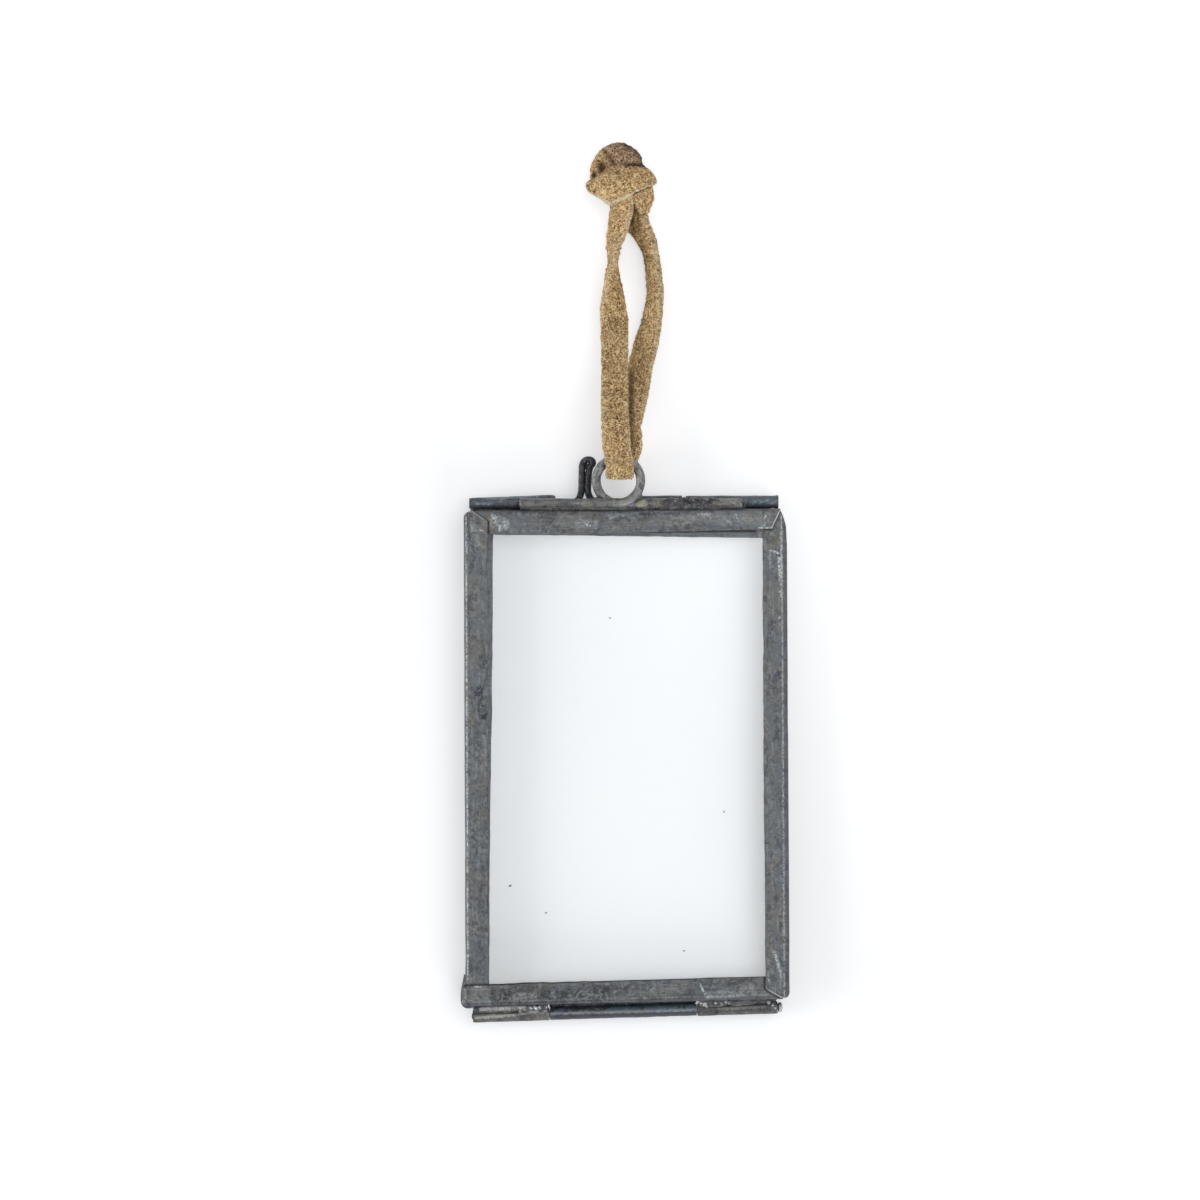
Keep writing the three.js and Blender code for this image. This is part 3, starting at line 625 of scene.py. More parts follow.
def metals():
    """The dull metals: colour, dark hollows, pale patches, the shares of both, and the rest."""
    tone = colours()
    return {
        "rolled_tube": dict(
            base=tone.tube, dark=(0.05, 0.056, 0.075), pale=(0.22, 0.24, 0.27), dark_share=0.2,
            pale_share=-0.1, marks=BLOOM, marked=(0.33, 0.42, 0.5)),
        # The middle knuckle: its blue base is a painted reflection, standing in for the dark blue
        # of its upper half in the gap under the rail, with a painted highlight and painted shade
        # below it
        "shaded_tube": dict(
            base=(0.13, 0.165, 0.22), dark=(0.055, 0.056, 0.058), pale=(0.2, 0.235, 0.28),
            dark_share=-0.1, pale_share=-0.2, marks=KNUCKLE_LIGHT, marked=(0.4, 0.4, 0.38),
            dark_strokes=KNUCKLE_SHADE),
        # The outer knuckles: their marks are painted highlights
        "stained_tube": dict(
            base=(0.14, 0.137, 0.13), dark=(0.05, 0.05, 0.054), pale=(0.26, 0.255, 0.23),
            dark_share=0.1, pale_share=0.1, marks=BARREL_HIGHLIGHTS, marked=(0.5, 0.49, 0.44),
            dark_strokes=RIGHT_KNUCKLE_DARKENING),
        # The ring: pale crust, painted glints on the right side of its turn and painted shade down
        # its left side
        "ring_wire": dict(
            base=tone.wire, dark=(0.085, 0.085, 0.088), pale=(0.4, 0.41, 0.38), dark_share=0.1,
            pale_share=0.2, metallic=0.6, marks=CRUSTS_AND_GLINTS, marked=tone.flux, dark_strokes=RING_DARKENING),
        "bolt_wire": dict(
            base=(0.036, 0.038, 0.047), dark=(0.018, 0.018, 0.025), pale=(0.09, 0.09, 0.09),
            dark_share=0.2, pale_share=-0.2),
        # The hinge's solder: its marks are painted highlights, and it has painted shade in the
        # seam's hollow
        "hinge_solder": dict(
            base=tone.solder, dark=(0.04, 0.04, 0.044), pale=(0.28, 0.28, 0.26), dark_share=0.2,
            pale_share=0.0, relief=LUMPY, marks=BARREL_HIGHLIGHTS, marked=(0.5, 0.5, 0.47),
            dark_strokes=SEAM_HOLLOW_SHADE),
        "dull_solder": dict(
            base=tone.solder, dark=(0.05, 0.048, 0.052), pale=(0.28, 0.27, 0.22), dark_share=0.2,
            pale_share=0.0, metallic=0.4, relief=LUMPY, marks=CRUSTS_AND_GLINTS, marked=tone.flux),
        "dark_solder": dict(
            base=(0.08, 0.076, 0.082), dark=(0.026, 0.025, 0.03), pale=(0.22, 0.22, 0.22),
            dark_share=0.4, pale_share=-0.2, metallic=0.45, relief=LUMPY, marks=CRUSTS_AND_GLINTS,
            marked=(0.3, 0.27, 0.2)),
        # Its navy is painted reflection and shade: it stands in for the dark blue of the gap above
        # the middle knuckle
        "navy_solder": dict(
            base=(0.07, 0.088, 0.125), dark=(0.03, 0.034, 0.045), pale=(0.15, 0.18, 0.23),
            dark_share=0.1, pale_share=-0.1, metallic=0.45, relief=LUMPY),
        "crusted_solder": dict(
            base=tone.flux, dark=(0.2, 0.185, 0.14), pale=(0.52, 0.5, 0.4), dark_share=0.0,
            pale_share=0.3, metallic=0.2, relief=LUMPY),
        "bright_solder": dict(
            base=(0.4, 0.42, 0.43), dark=(0.09, 0.09, 0.1), pale=(0.8, 0.84, 0.88),
            dark_share=0.0, pale_share=0.4, metallic=0.7, relief=LUMPY),
    }


def finish_named(name):
    """One finish, made the first time that it is asked for."""
    made = bpy.data.materials.get(name)
    if made is not None:
        return made
    tone = colours()
    if name == "clear_pane":
        return clear_pane(name)
    if name == "patinated_zinc":
        return patinated_zinc(name, is_front=True)
    if name == "bluish_zinc":
        return patinated_zinc(name, is_front=False)
    if name == "napped_suede":
        return napped_suede(name, tone.suede, tone.suede_dark, tone.suede_pale)
    if name == "dark_hide":
        return napped_suede(
            name, tone.hide, (0.045, 0.019, 0.013), (0.72, 0.51, 0.33), dark_share=0.3,
            turned=True)
    return dull_metal(name, **metals()[name])


# Mesh building


SHARP_ANGLE = math.radians(42)


def add_object(name, data):
    """A new object in the scene."""
    made = bpy.data.objects.new(name, data)
    bpy.context.scene.collection.objects.link(made)
    return made


def add_piece(name, points, faces, finish, body, replaced, stored=None):
    """A piece from points in millimetres. stored holds values kept at the mesh's points."""
    mesh = bpy.data.meshes.new(name)
    mesh.from_pydata([tuple(p) for p in np.asarray(points, float) * MM], [], faces)
    mesh.validate()
    for key, values in (stored or {}).items():
        values = np.asarray(values, np.float32)
        is_vector = values.ndim == 2
        layer = mesh.attributes.new(key, "FLOAT_VECTOR" if is_vector else "FLOAT", "POINT")
        layer.data.foreach_set("vector" if is_vector else "value", values.ravel())
    shell = bmesh.new()
    shell.from_mesh(mesh)
    bmesh.ops.recalc_face_normals(shell, faces=shell.faces)
    shell.to_mesh(mesh)
    shell.free()
    mesh.shade_smooth()
    mesh.set_sharp_from_angle(angle=SHARP_ANGLE)
    piece = add_object(name, mesh)
    mesh.materials.append(finish_named(finish))
    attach(piece, body)
    if replaced:
        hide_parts(*replaced)
    return piece


def loft(rings, wrap=False, in_pairs=False):
    """Points and faces of a skin over rings of equal length. wrap joins the last ring to the
    first. in_pairs closes the ends with quads across the ring, and otherwise each is one face."""
    rings = [np.asarray(ring, float) for ring in rings]
    count = len(rings[0])
    last = (len(rings) - 1) * count
    faces = []
    for i in range(len(rings) if wrap else len(rings) - 1):
        low = i * count
        high = ((i + 1) % len(rings)) * count
        for j in range(count):
            k = (j + 1) % count
            faces.append((low + j, low + k, high + k, high + j))
    if in_pairs:
        for j in range(count // 2 - 1):
            mate = count - 1 - j
            faces.append((j, mate, mate - 1, j + 1))
            faces.append((last + j, last + j + 1, last + mate - 1, last + mate))
    elif not wrap:
        faces.append(tuple(range(count - 1, -1, -1)))
        faces.append(tuple(last + j for j in range(count)))
    return np.concatenate(rings), faces


def joined(shells):
    """Several sets of points and faces as one."""
    points, faces, start = [], [], 0
    for shell_points, shell_faces in shells:
        points.append(shell_points)
        faces += [tuple(index + start for index in face) for face in shell_faces]
        start += len(shell_points)
    return np.concatenate(points), faces


def smooth_between(value, low, high):
    """0 at low, 1 at high and smooth between them. low may be the larger."""
    share = min(max((value - low) / (high - low), 0), 1)
    return share * share * (3 - 2 * share)


def bell(*shares):
    """1 at the middle and falling smoothly to 0. shares are distances from it, in widths."""
    return math.exp(-sum(share**2 for share in shares))


def unit(vector, spare=0.0):
    """The vector at length 1. A little spare length keeps one of none from dividing by 0."""
    return vector / (np.linalg.norm(vector) + spare)


def table_at(table, s):
    """A value read from pairs of place and value."""
    return float(np.interp(s, [row[0] for row in table], [row[1] for row in table]))


def wobble(point, scale, seed=0.0):
    """Smooth noise from about -1 to 1 at a point in millimetres; scale is the bumps' size."""
    return noise.noise(Vector((point[0] / scale + seed, point[1] / scale, point[2] / scale))) * 1.6


def catmull_rom(points, samples):
    """Uniform Catmull-Rom curve through the points, as CAD's."""
    points = np.array(points, float)
    padded = np.vstack([2 * points[0] - points[1], points, 2 * points[-1] - points[-2]])
    curve = []
    for i in range(1, len(padded) - 2):
        before, start, end, after = padded[i - 1:i + 3]
        leave = (end - before) / 2
        arrive = (after - start) / 2
        for k in range(samples):
            t = k / samples
            curve.append(
                (2 * t**3 - 3 * t**2 + 1) * start + (t**3 - 2 * t**2 + t) * leave
                + (3 * t**2 - 2 * t**3) * end + (t**3 - t**2) * arrive)
    curve.append(points[-1])
    return np.array(curve)


def run_along(curve):
    """How far along a curve each of its points lies. Its first three columns are places."""
    steps = np.linalg.norm(np.diff(curve[:, :3], axis=0), axis=1)
    return np.concatenate([[0], np.cumsum(steps)])


def spaced(curve, count, closed=False):
    """The curve again, as count points at even steps."""
    run = run_along(curve)
    wanted = np.linspace(0, run[-1], count, endpoint=not closed)
    return np.stack([np.interp(wanted, run, column) for column in curve.T], axis=1)


def even_steps(curve, step):
    """The curve again, at even steps of about the length step."""
    return spaced(curve, max(2, int(round(run_along(curve)[-1] / step)) + 1))


def smooth_line(points, samples, step):
    """A smooth curve through the points, at even steps."""
    return even_steps(catmull_rom(points, samples), step)


def directions(line):
    """Unit tangents of a line of points."""
    tangents = np.gradient(line, axis=0)
    return tangents / np.linalg.norm(tangents, axis=1)[:, None]


def wire_rings(line, radius, sides, dents=0.0, seed=0.0):
    """Rings round a wire's line. dents is how far its skin wanders in and out."""
    tangents = directions(line)
    across = np.cross(tangents[0], (0, 0, 1))
    if np.linalg.norm(across) < 1e-3:
        across = np.cross(tangents[0], (0, 1, 0))
    rings = []
    for point, tangent in zip(line, tangents):
        across = unit(across - tangent * across.dot(tangent))
        other = np.cross(tangent, across)
        ring = []
        for j in range(sides):
            angle = 2 * math.pi * j / sides
            outward = across * math.cos(angle) + other * math.sin(angle)
            at = point + outward * radius
            ring.append(at + outward * dents * (
                wobble(at, 1.7, seed) * 0.65 + wobble(at, 0.6, seed + 9) * 0.35))
        rings.append(np.array(ring))
    return rings


def wire_shell(line, radius, sides=18, dents=0.0, seed=0.0, round_ends=0.35):
    """A wire with slightly rounded ends."""
    line = np.asarray(line, float)
    rings = wire_rings(line, radius, sides, dents, seed)
    tangents = directions(line)
    for end, sign in ((0, -1), (-1, 1)):
        extra = []
        for share in (0.35, 0.7, 1.0):
            shrink = math.sqrt(1 - (share * 0.98) ** 2)
            push = tangents[end] * sign * radius * round_ends * share
            extra.append(line[end] + push + (rings[end] - line[end]) * (0.25 + 0.75 * shrink))
        rings = extra[::-1] + rings if end == 0 else rings + extra
    return loft(rings)


# Came strips


def channel_section(lip_out, lip_in, inset, rise_out, rise_in, sheet, fold):
    """Paired outer and inner points of a folded channel: across from the strip's outer edge, and
    height from the face that meets the other leaf."""
    tight = max(fold - sheet, 0.05)
    top = LEAF_DEPTH - fold
    outer, inner = [], []
    for share in np.linspace(1, 0, 8):
        a = inset + fold + (lip_in - inset - fold) * share
        outer.append((a, rise_in))
        inner.append((a, sheet + rise_in))
    for k in range(1, 5):
        angle = math.pi / 2 * k / 5
        outer.append((inset + fold - fold * math.sin(angle), fold - fold * math.cos(angle)))
        inner.append((inset + fold - tight * math.sin(angle), fold - tight * math.cos(angle)))
    for share in (0.0, 0.33, 0.66, 1.0):
        h = fold + (LEAF_DEPTH - 2 * fold) * share
        outer.append((inset, h))
        inner.append((inset + sheet, h))
    for k in range(1, 6):
        angle = math.pi / 2 * k / 6
        rise = rise_out * (k / 6)
        outer.append((
            inset + fold - fold * math.cos(angle), top + fold * math.sin(angle) + rise))
        inner.append((
            inset + fold - tight * math.cos(angle), top + tight * math.sin(angle) + rise))
    for share in np.linspace(0, 1, 15):
        a = inset + fold + (lip_out - inset - fold) * share
        outer.append((a, LEAF_DEPTH + rise_out))
        inner.append((a, LEAF_DEPTH - sheet + rise_out))
    return outer, inner


def corner_inset(radius, s):
    """How far a rounded corner's wall stands in from the edge, at s from the strip's end."""
    if s >= radius:
        return 0.0
    return radius - math.sqrt(max(radius**2 - (radius - s) ** 2, 0))


def strip_stops(first, last):
    """Where a strip's rings stand along it, closer together near its ends."""
    fine, coarse, fine_reach = 0.22, 0.7, 6
    near = [first + k * fine for k in range(int(fine_reach / fine))]
    middle = np.arange(near[-1] + coarse, last - fine_reach, coarse)
    return [*near, *middle, *np.arange(middle[-1] + fine * 2, last, fine * 1.3), last]


def came_strip(strip, is_front):
    """One strip: folded, lapped over the next strip at its start and under another at its end."""
    size = sizes()
    sheet, fold, lap, wander = (
        value / MM for value in (size.sheet, size.fold, size.lap, size.wander))
    start, stop = (
        np.array((*CORNERS[strip[end]], 0.0)) + (0, LEAF_TOP, 0) for end in ("start", "stop"))
    length = np.linalg.norm(stop - start)
    along = (stop - start) / length
    inward = np.array((-along[1], along[0], 0.0))
    lips = strip["lip"] if is_front else strip["rear_lip"]
    hidden_lips = strip["lip_in"] if is_front else strip["rear_lip"]
    first = strip["reach"]
    rings, runs, grime_and_shade_values, cuts = [], [], [], []
    for s in strip_stops(first, length - strip["short"]):
        from_start = s - first
        from_stop = length - s
        at = start + along * s
        inset = max(
            corner_inset(strip["round"], from_start), table_at(strip["far_inset"], from_stop))
        edge = wander * (wobble(at, 9, 3) + 0.4 * wobble(at, 2.2, 5))
        inset += max(edge * 0.6, -inset) * min(1, from_start / 3)
        lip = table_at(lips, s) + wander * (wobble(at, 7, 11) + 0.6 * wobble(at, 1.6, 13))
        # It dips under the neighbour's lap at its end and lifts over the other one at its start
        dip = smooth_between(from_stop, 6.2, 4.8)
        lift = 0.35 * lap * np.clip((7 - from_start) / 3, 0, 1) if is_front else 0.0
        rise = lift - lap * dip + 0.03 * wobble(at, 6, 17) - 0.03
        outer, inner = channel_section(
            lip, table_at(hidden_lips, s), inset, rise, lap * dip * 0.5, sheet, fold)
        ring = []
        for index, (a, h) in enumerate(outer + inner[::-1]):
            is_inner = index >= len(outer)
            # The end's outline slants or is cut off; it fades out along the strip
            slant = table_at(strip["end"], a) * max(0.0, 1 - from_start / 5.5)
            place = at + along * slant + inward * a
            if h > LEAF_DEPTH * 0.7:
                # The folded sheet is pillowed a little and its lip dips to the pane
                share = np.clip(a / max(lip, 0.1), 0, 1)
                h += 0.05 * math.sin(math.pi * share) - 0.07 * max(0, (share - 0.9) / 0.1)
                h += 0.022 * wobble(place, 2.4, 23)
            z = FRONT_FACE - LEAF_DEPTH + h if is_front else LEAF_DEPTH - h
            ring.append((place[0], place[1], max(z, 0.0)))
            runs.append((s + strip["seed"], a, h))
            # Dirt gathers just outside the neighbour's lapping edge and inside the channel
            beyond = from_stop - table_at(strip["seam"], a)
            near_seam = max(0.0, 1 - abs(beyond - 0.12) / 0.5) if beyond > -0.3 else 0.0
            grime_and_shade_values.append(1.0 if is_inner else near_seam)
            # The lapping end's cut edge is bare metal with a painted highlight along it
            cuts.append(strip["bright_end"] if from_start < 0.3 and not is_inner else 0.0)
        rings.append(np.array(ring))
    points, faces = loft(rings, in_pairs=True)
    return points, faces, {
        "run": runs, "grime_and_shade": grime_and_shade_values, "cut": cuts, "rub_and_highlight": [strip["rub_and_highlight"]] * len(runs),
        "fold_line": [a - strip["rub_and_highlight_at"] if h > LEAF_DEPTH * 0.5 else -1 for _, a, h in runs]}


# The strips, each from the corner where it laps over its neighbour to the one where it dives
# under another. reach and short are how far it starts and stops from them, and round is the first
# corner's radius. Tables of across and along: end is the lapping end's outline, far_inset how the
# outer edge draws in at the other end, and seam where the neighbour's lap ends on this strip, from
# its far corner. lip, lip_in and rear_lip are the width along the strip: in front, on its hidden
# side and on the rear leaf. rub_and_highlight is how bright the worn fold and its painted highlight
# are, and rub_and_highlight_at how far in they lie. bright_end is how bright the painted highlight
# on the lapping end's cut edge is.
STRIPS = [
    {
        "name": "left", "start": "top_left", "stop": "bottom_left",
        "reach": 0.0, "short": 0.5, "round": 1.4, "seed": 0,
        "end": [(0, 0), (1.7, 0), (1.9, 0.15), (4.2, 1.85), (4.5, 2.2)],
        "far_inset": [(0, 0.15), (1, 0.1), (5, 0)],
        "lip": [(0, 4.38), (92, 4.24)], "lip_in": [(0, 4.3), (92, 4.2)],
        "rear_lip": [(0, 5.4), (30, 5.1), (60, 4.6), (92, 4.2)],
        "seam": [(0, 3.85), (5, 3.85)],
        "rub_and_highlight": 1.0, "rub_and_highlight_at": 0.5, "bright_end": 0.3,
    },
    {
        "name": "top", "start": "top_right", "stop": "top_left",
        "reach": 0.0, "short": 1.25, "round": 0.3, "seed": 140,
        "end": [(0, 1.0), (3.5, 2.7), (5.5, 3.4)],
        "far_inset": [(0, 0)],
        "lip": [(0, 3.7), (3, 3.8), (16, 4.1), (26, 4.25), (36, 4.45), (60, 4.38)],
        "lip_in": [(0, 4.3), (60, 4.3)],
        "rear_lip": [(0, 5.5), (15, 5.2), (35, 4.75), (60, 4.35)],
        "seam": [(0, 1.5), (0.2, 1.76), (1.94, 4.35), (2.2, 4.4), (5, 4.4)],
        "rub_and_highlight": 0.1, "rub_and_highlight_at": 0.5, "bright_end": 1.0,
    },
    {
        "name": "right", "start": "bottom_right", "stop": "top_right",
        "reach": 0.0, "short": 0.1, "round": 1.3, "seed": 290,
        "end": [(0, 0), (1.2, 0), (1.4, 0.1), (3.9, 1.55), (4.3, 1.9), (4.5, 2.4)],
        "far_inset": [(0, 1.5), (0.8, 0.9), (1.9, 0.54), (3.2, 0.17), (6.8, 0)],
        "lip": [(0, 4.46), (45, 4.62), (91, 4.5)], "lip_in": [(0, 4.4), (91, 4.4)],
        "rear_lip": [(0, 4.3), (91, 4.3)],
        "seam": [(0, -3), (0.9, -3), (1.0, 0), (2.79, 3.7), (5, 3.76)],
        "rub_and_highlight": 0.8, "rub_and_highlight_at": 1.0, "bright_end": 0.6,
    },
    {
        "name": "bottom", "start": "bottom_left", "stop": "bottom_right",
        "reach": -0.62, "short": 1.3, "round": 0.9, "seed": 430,
        "end": [(0, 0), (3.4, 0), (4.2, 0.25)],
        "far_inset": [(0, 0)],
        "lip": [(0, 3.75), (3, 3.85), (25, 4.0), (60, 4.25)], "lip_in": [(0, 3.9), (60, 4.2)],
        "rear_lip": [(0, 3.8), (60, 4.0)],
        "seam": [(0, 1.3), (1.6, 4.07), (2.1, 4.46), (5, 4.46)],
        "rub_and_highlight": 0.3, "rub_and_highlight_at": 0.85, "bright_end": 0.0,
    },
]


# The wrap's line round the bottom left corner, from that corner
WRAP_LINE = [
    (1.6, -0.02), (0.5, -0.12), (-0.15, 0.05), (-0.5, 0.55), (-0.6, 1.4), (-0.56, 2.6),
    (-0.4, 3.8), (-0.2, 4.8), (-0.02, 5.8),
]


def corner_wrap():
    """The bottom strip's end, bent up round the bottom left corner over the left strip's wall."""
    corner_x, corner_y = CORNERS["bottom_left"]
    corner_y += LEAF_TOP
    line = smooth_line([(corner_x + x, corner_y + y, 0) for x, y in WRAP_LINE], 8, 0.2)
    half = sizes().sheet / MM / 2
    rings = []
    for k, (point, tangent) in enumerate(zip(line, directions(line))):
        side = np.array((tangent[1], -tangent[0], 0))
        # It narrows along its way
        share = k / (len(line) - 1)
        top = FRONT_FACE - 0.5 - 0.25 * share + 0.03 * wobble(point, 1.5, 31)
        bottom = FRONT_FACE - LEAF_DEPTH + 0.2 + 0.25 * share
        ring = []
        for sign, levels in ((1, np.linspace(bottom, top, 6)), (-1, np.linspace(top, bottom, 6))):
            for level in levels:
                bulge = 0.1 * math.sin(math.pi * (level - bottom) / (top - bottom))
                ring.append((*(point + side * -sign * half - side * bulge)[:2], level))
        rings.append(np.array(ring))
    return loft(rings)


class AddCameStrips(bpy.types.Operator):
    """Folds the eight zinc strips round the two panes"""

    bl_idname = "hanging_frame.add_came_strips"
    bl_label = "Came strips"

    def execute(self, context):
        for leaf, is_front in (("front", True), ("rear", False)):
            for strip in STRIPS:
                points, faces, stored = came_strip(strip, is_front)
                if is_front and strip["name"] == "bottom":
                    wrap = corner_wrap()
                    points, faces = joined([(points, faces), wrap])
                    stored["run"] += [(y, x + 31, 1.0) for x, y, _ in wrap[0]]
                    plain = {"grime_and_shade": 0.0, "cut": 0.0, "rub_and_highlight": 0.0, "fold_line": 0.3}
                    for key, value in plain.items():
                        stored[key] += [value] * len(wrap[0])
                add_piece(
                    f"{leaf}_{strip['name']}_strip", points, faces,
                    "patinated_zinc" if is_front else "bluish_zinc",
                    f"{leaf}_leaf", [f"{leaf}_{strip['name']}_came"], stored)
        return {"FINISHED"}


# Specks on the front pane: x, y from the leaves' top edge, half length and half width
SPECKS = [
    (-21.48, -69.44, 0.2, 0.14), (-14.81, -74.44, 0.14, 0.1), (-2.96, -19.81, 0.16, 0.1),
    (18.15, -55.74, 0.12, 0.1), (10.74, -81.48, 0.13, 0.1),
]


class GlazeLeaves(bpy.types.Operator):
    """Gives both panes their glass and the few specks that lie on the front one"""

    bl_idname = "hanging_frame.glaze_leaves"
    bl_label = "Panes"

    def execute(self, context):
        for leaf in ("front", "rear"):
            pane = frame["nodes"][f"{leaf}_glass"]
            for slot in pane.material_slots:
                slot.material = finish_named("clear_pane")
        shells = []
        for x, y, length, width in SPECKS:
            line = [
                (x + length * t, LEAF_TOP + y + width * 0.5 * t, PANE_TOP + 0.06)
                for t in (-1, 0, 1)]
            shells.append(wire_shell(line, width, 8, 0.04, x, 0.5))
        points, faces = joined(shells)
        add_piece("pane_specks", points, faces, "bolt_wire", "front_leaf", ())
        return {"FINISHED"}


# Tubes, solder and wires


def tube_shell(start, end, offset, radius, wall, turns, seam, dents, seed):
    """A rolled tube along X with open ends and a seam at an angle in radians. offset and radius
    are tables along X; the result is round the tube's own axis."""
    seam_depth, seam_width = 0.14, 0.13
    # Along the skin: place and how far it lies below the radius
    profile = [
        (start, -0.06), *((x, 0.0) for x in np.arange(start, end, 0.5)[1:]), (end, -0.06),
        (end, -wall * 0.75), (end - 0.15, -wall), (start + 0.15, -wall), (start, -wall * 0.75),
    ]
    rings = []
    for j in range(turns):
        angle = 2 * math.pi * j / turns
        y, z = math.cos(angle), math.sin(angle)
        gap = abs((angle - seam + math.pi) % (2 * math.pi) - math.pi)
        ring = []
        for x, depth in profile:
            r = table_at(radius, x) + depth
            if depth > -0.1:
                r -= seam_depth * bell(gap / seam_width)
            point = (x, table_at(offset, x) + y * r, z * r)
            r += dents * wobble(point, 2.2, seed) + 0.5 * dents * wobble(point, 0.8, seed + 4)
            ring.append((x, table_at(offset, x) + y * r, z * r))
        rings.append(np.array(ring))
    return loft(rings, wrap=True)


def solder_shell(stations, lumps, seed, sides=20, spacing=0.16):
    """A run of solder along X. Each station is x, the middle's y and z, and the half height in y
    and z. lumps is how far its skin heaves."""
    table = np.array(stations, float)
    xs = np.arange(table[0, 0], table[-1, 0] + spacing / 2, spacing)
    rings = []
    for k, x in enumerate(xs):
        y, z, half_y, half_z = (np.interp(x, table[:, 0], table[:, c]) for c in range(1, 5))
        taper = min(1.0, (k + 0.4) / 4, (len(xs) - 1 - k + 0.4) / 4)
        taper = math.sqrt(1 - (1 - taper) ** 2)
        ring = []
        for j in range(sides):
            angle = 2 * math.pi * j / sides
            point = np.array((x, y + half_y * math.cos(angle), z + half_z * math.sin(angle)))
            heave = lumps * (
                0.7 * wobble(point, 1.3, seed) + 0.45 * wobble(point, 0.55, seed + 3)
                + 0.15 * wobble(point, 0.25, seed + 7))
            ring.append((
                x, y + (half_y + heave) * taper * math.cos(angle),
                z + (half_z + heave) * taper * math.sin(angle)))
        rings.append(np.array(ring))
    return loft(rings)


def swell(x, y, z, half_x, half_y, half_z, count, blunt):
    """Stations of an egg-shaped lump of solder. blunt is over 1, and more of it blunts the ends."""
    stations = []
    for t in np.linspace(-1, 1, count):
        full = math.sqrt(blunt - t * t)
        stations.append((x + half_x * t, y, z, half_y * full, half_z * full))
    return stations


def add_solder_run(node, body, finish, stations, lumps, seed, moved=None):
    """The solder that stands for a CAD node. moved takes its points to their place."""
    points, faces = solder_shell(stations, lumps, seed)
    if moved:
        points = moved(points)
    add_piece(f"{node}_run", points, faces, finish, body, [node])


def along_hinge(points):
    """Points given along the hinge pin, across it and above it, moved to the pin."""
    along = np.array(HINGE_ALONG)
    across = np.array((-along[1], along[0], 0))
    points = np.asarray(points, float)
    return (
        np.array(HINGE_POINT) + points[:, :1] * along + points[:, 1:2] * across
        + points[:, 2:3] * np.array((0, 0, 1)))


def hinge_reach(node):
    """Where a hinge node starts and ends along the pin."""
    low, high = cad_span(node, 0)
    tilt = cad_radius(node) * math.sin(math.atan(HINGE_ALONG.y / HINGE_ALONG.x))
    stretch = 1 / HINGE_ALONG.x
    return (low + tilt - HINGE_POINT.x) * stretch, (high - tilt - HINGE_POINT.x) * stretch


def add_knuckles():
    """The three rolled knuckles, each nearly meeting the next."""
    wall = 0.33
    slack = 0.11
    turns = 48
    dents = 0.035
    # Node, body, how far it grows at its start and end, the seam's angle, radius and seed
    knuckles = [
        ("front_left_knuckle", "front_leaf", 0, slack, 0.9, TUBE_RADIUS + 0.03, 1),
        ("rear_hinge_knuckle", "rear_leaf", slack, slack, 1.95, TUBE_RADIUS - 0.03, 2),
        ("front_right_knuckle", "front_leaf", slack, 0, 0.8, TUBE_RADIUS + 0.03, 3),
    ]
    for node, body, before, after, seam, radius, seed in knuckles:
        start, end = hinge_reach(node)
        points, faces = tube_shell(
            start - before, end + after, [(0, 0)], [(start, radius), (end, radius)], wall,
            turns, seam, dents, seed)
        add_piece(
            f"{node}_tube", along_hinge(points), faces,
            "shaded_tube" if body == "rear_leaf" else "stained_tube", body, [node])


def add_hinge_solder(left, left_end, right, right_end):
    """Solder that fills the gap between each leaf's edge and its knuckles."""
    front_left = [
        (left + 0.1, 1.5, 0.9, 0.85, 0.5), (left + 3, 1.5, 1.0, 0.85, 0.45),
        (left + 8, 1.5, 1.05, 0.85, 0.45), (left + 10.3, 1.45, 1.2, 0.85, 0.5),
        (left + 12, 1.4, 1.25, 0.85, 0.5), (left_end - 0.1, 1.4, 1.3, 0.85, 0.5),
    ]
    front_right = [
        (right + 0.1, 1.4, 1.25, 0.85, 0.5), (right + 3, 1.45, 1.15, 0.85, 0.5),
        (right + 5, 1.45, 1.25, 0.85, 0.5), (right + 8, 1.5, 1.1, 0.85, 0.45),
        (right + 10, 1.55, 0.9, 0.85, 0.45), (right + 11.2, 1.6, 0.5, 0.75, 0.4),
        (right_end - 0.2, 1.6, 0.4, 0.75, 0.4),
    ]
    rear = [
        (left_end + 0.15, 1.65, -0.9, 0.75, 0.6), (0, 1.65, -1.0, 0.75, 0.65),
        (right - 0.15, 1.65, -0.9, 0.75, 0.6),
    ]
    for node, body, finish, stations, lumps, seed in (
            ("front_left_knuckle_solder", "front_leaf", "hinge_solder", front_left, 0.2, 3),
            ("front_right_knuckle_solder", "front_leaf", "hinge_solder", front_right, 0.22, 7),
            ("rear_hinge_knuckle_solder", "rear_leaf", "navy_solder", rear, 0.1, 11)):
        add_solder_run(node, body, finish, stations, lumps, seed, along_hinge)


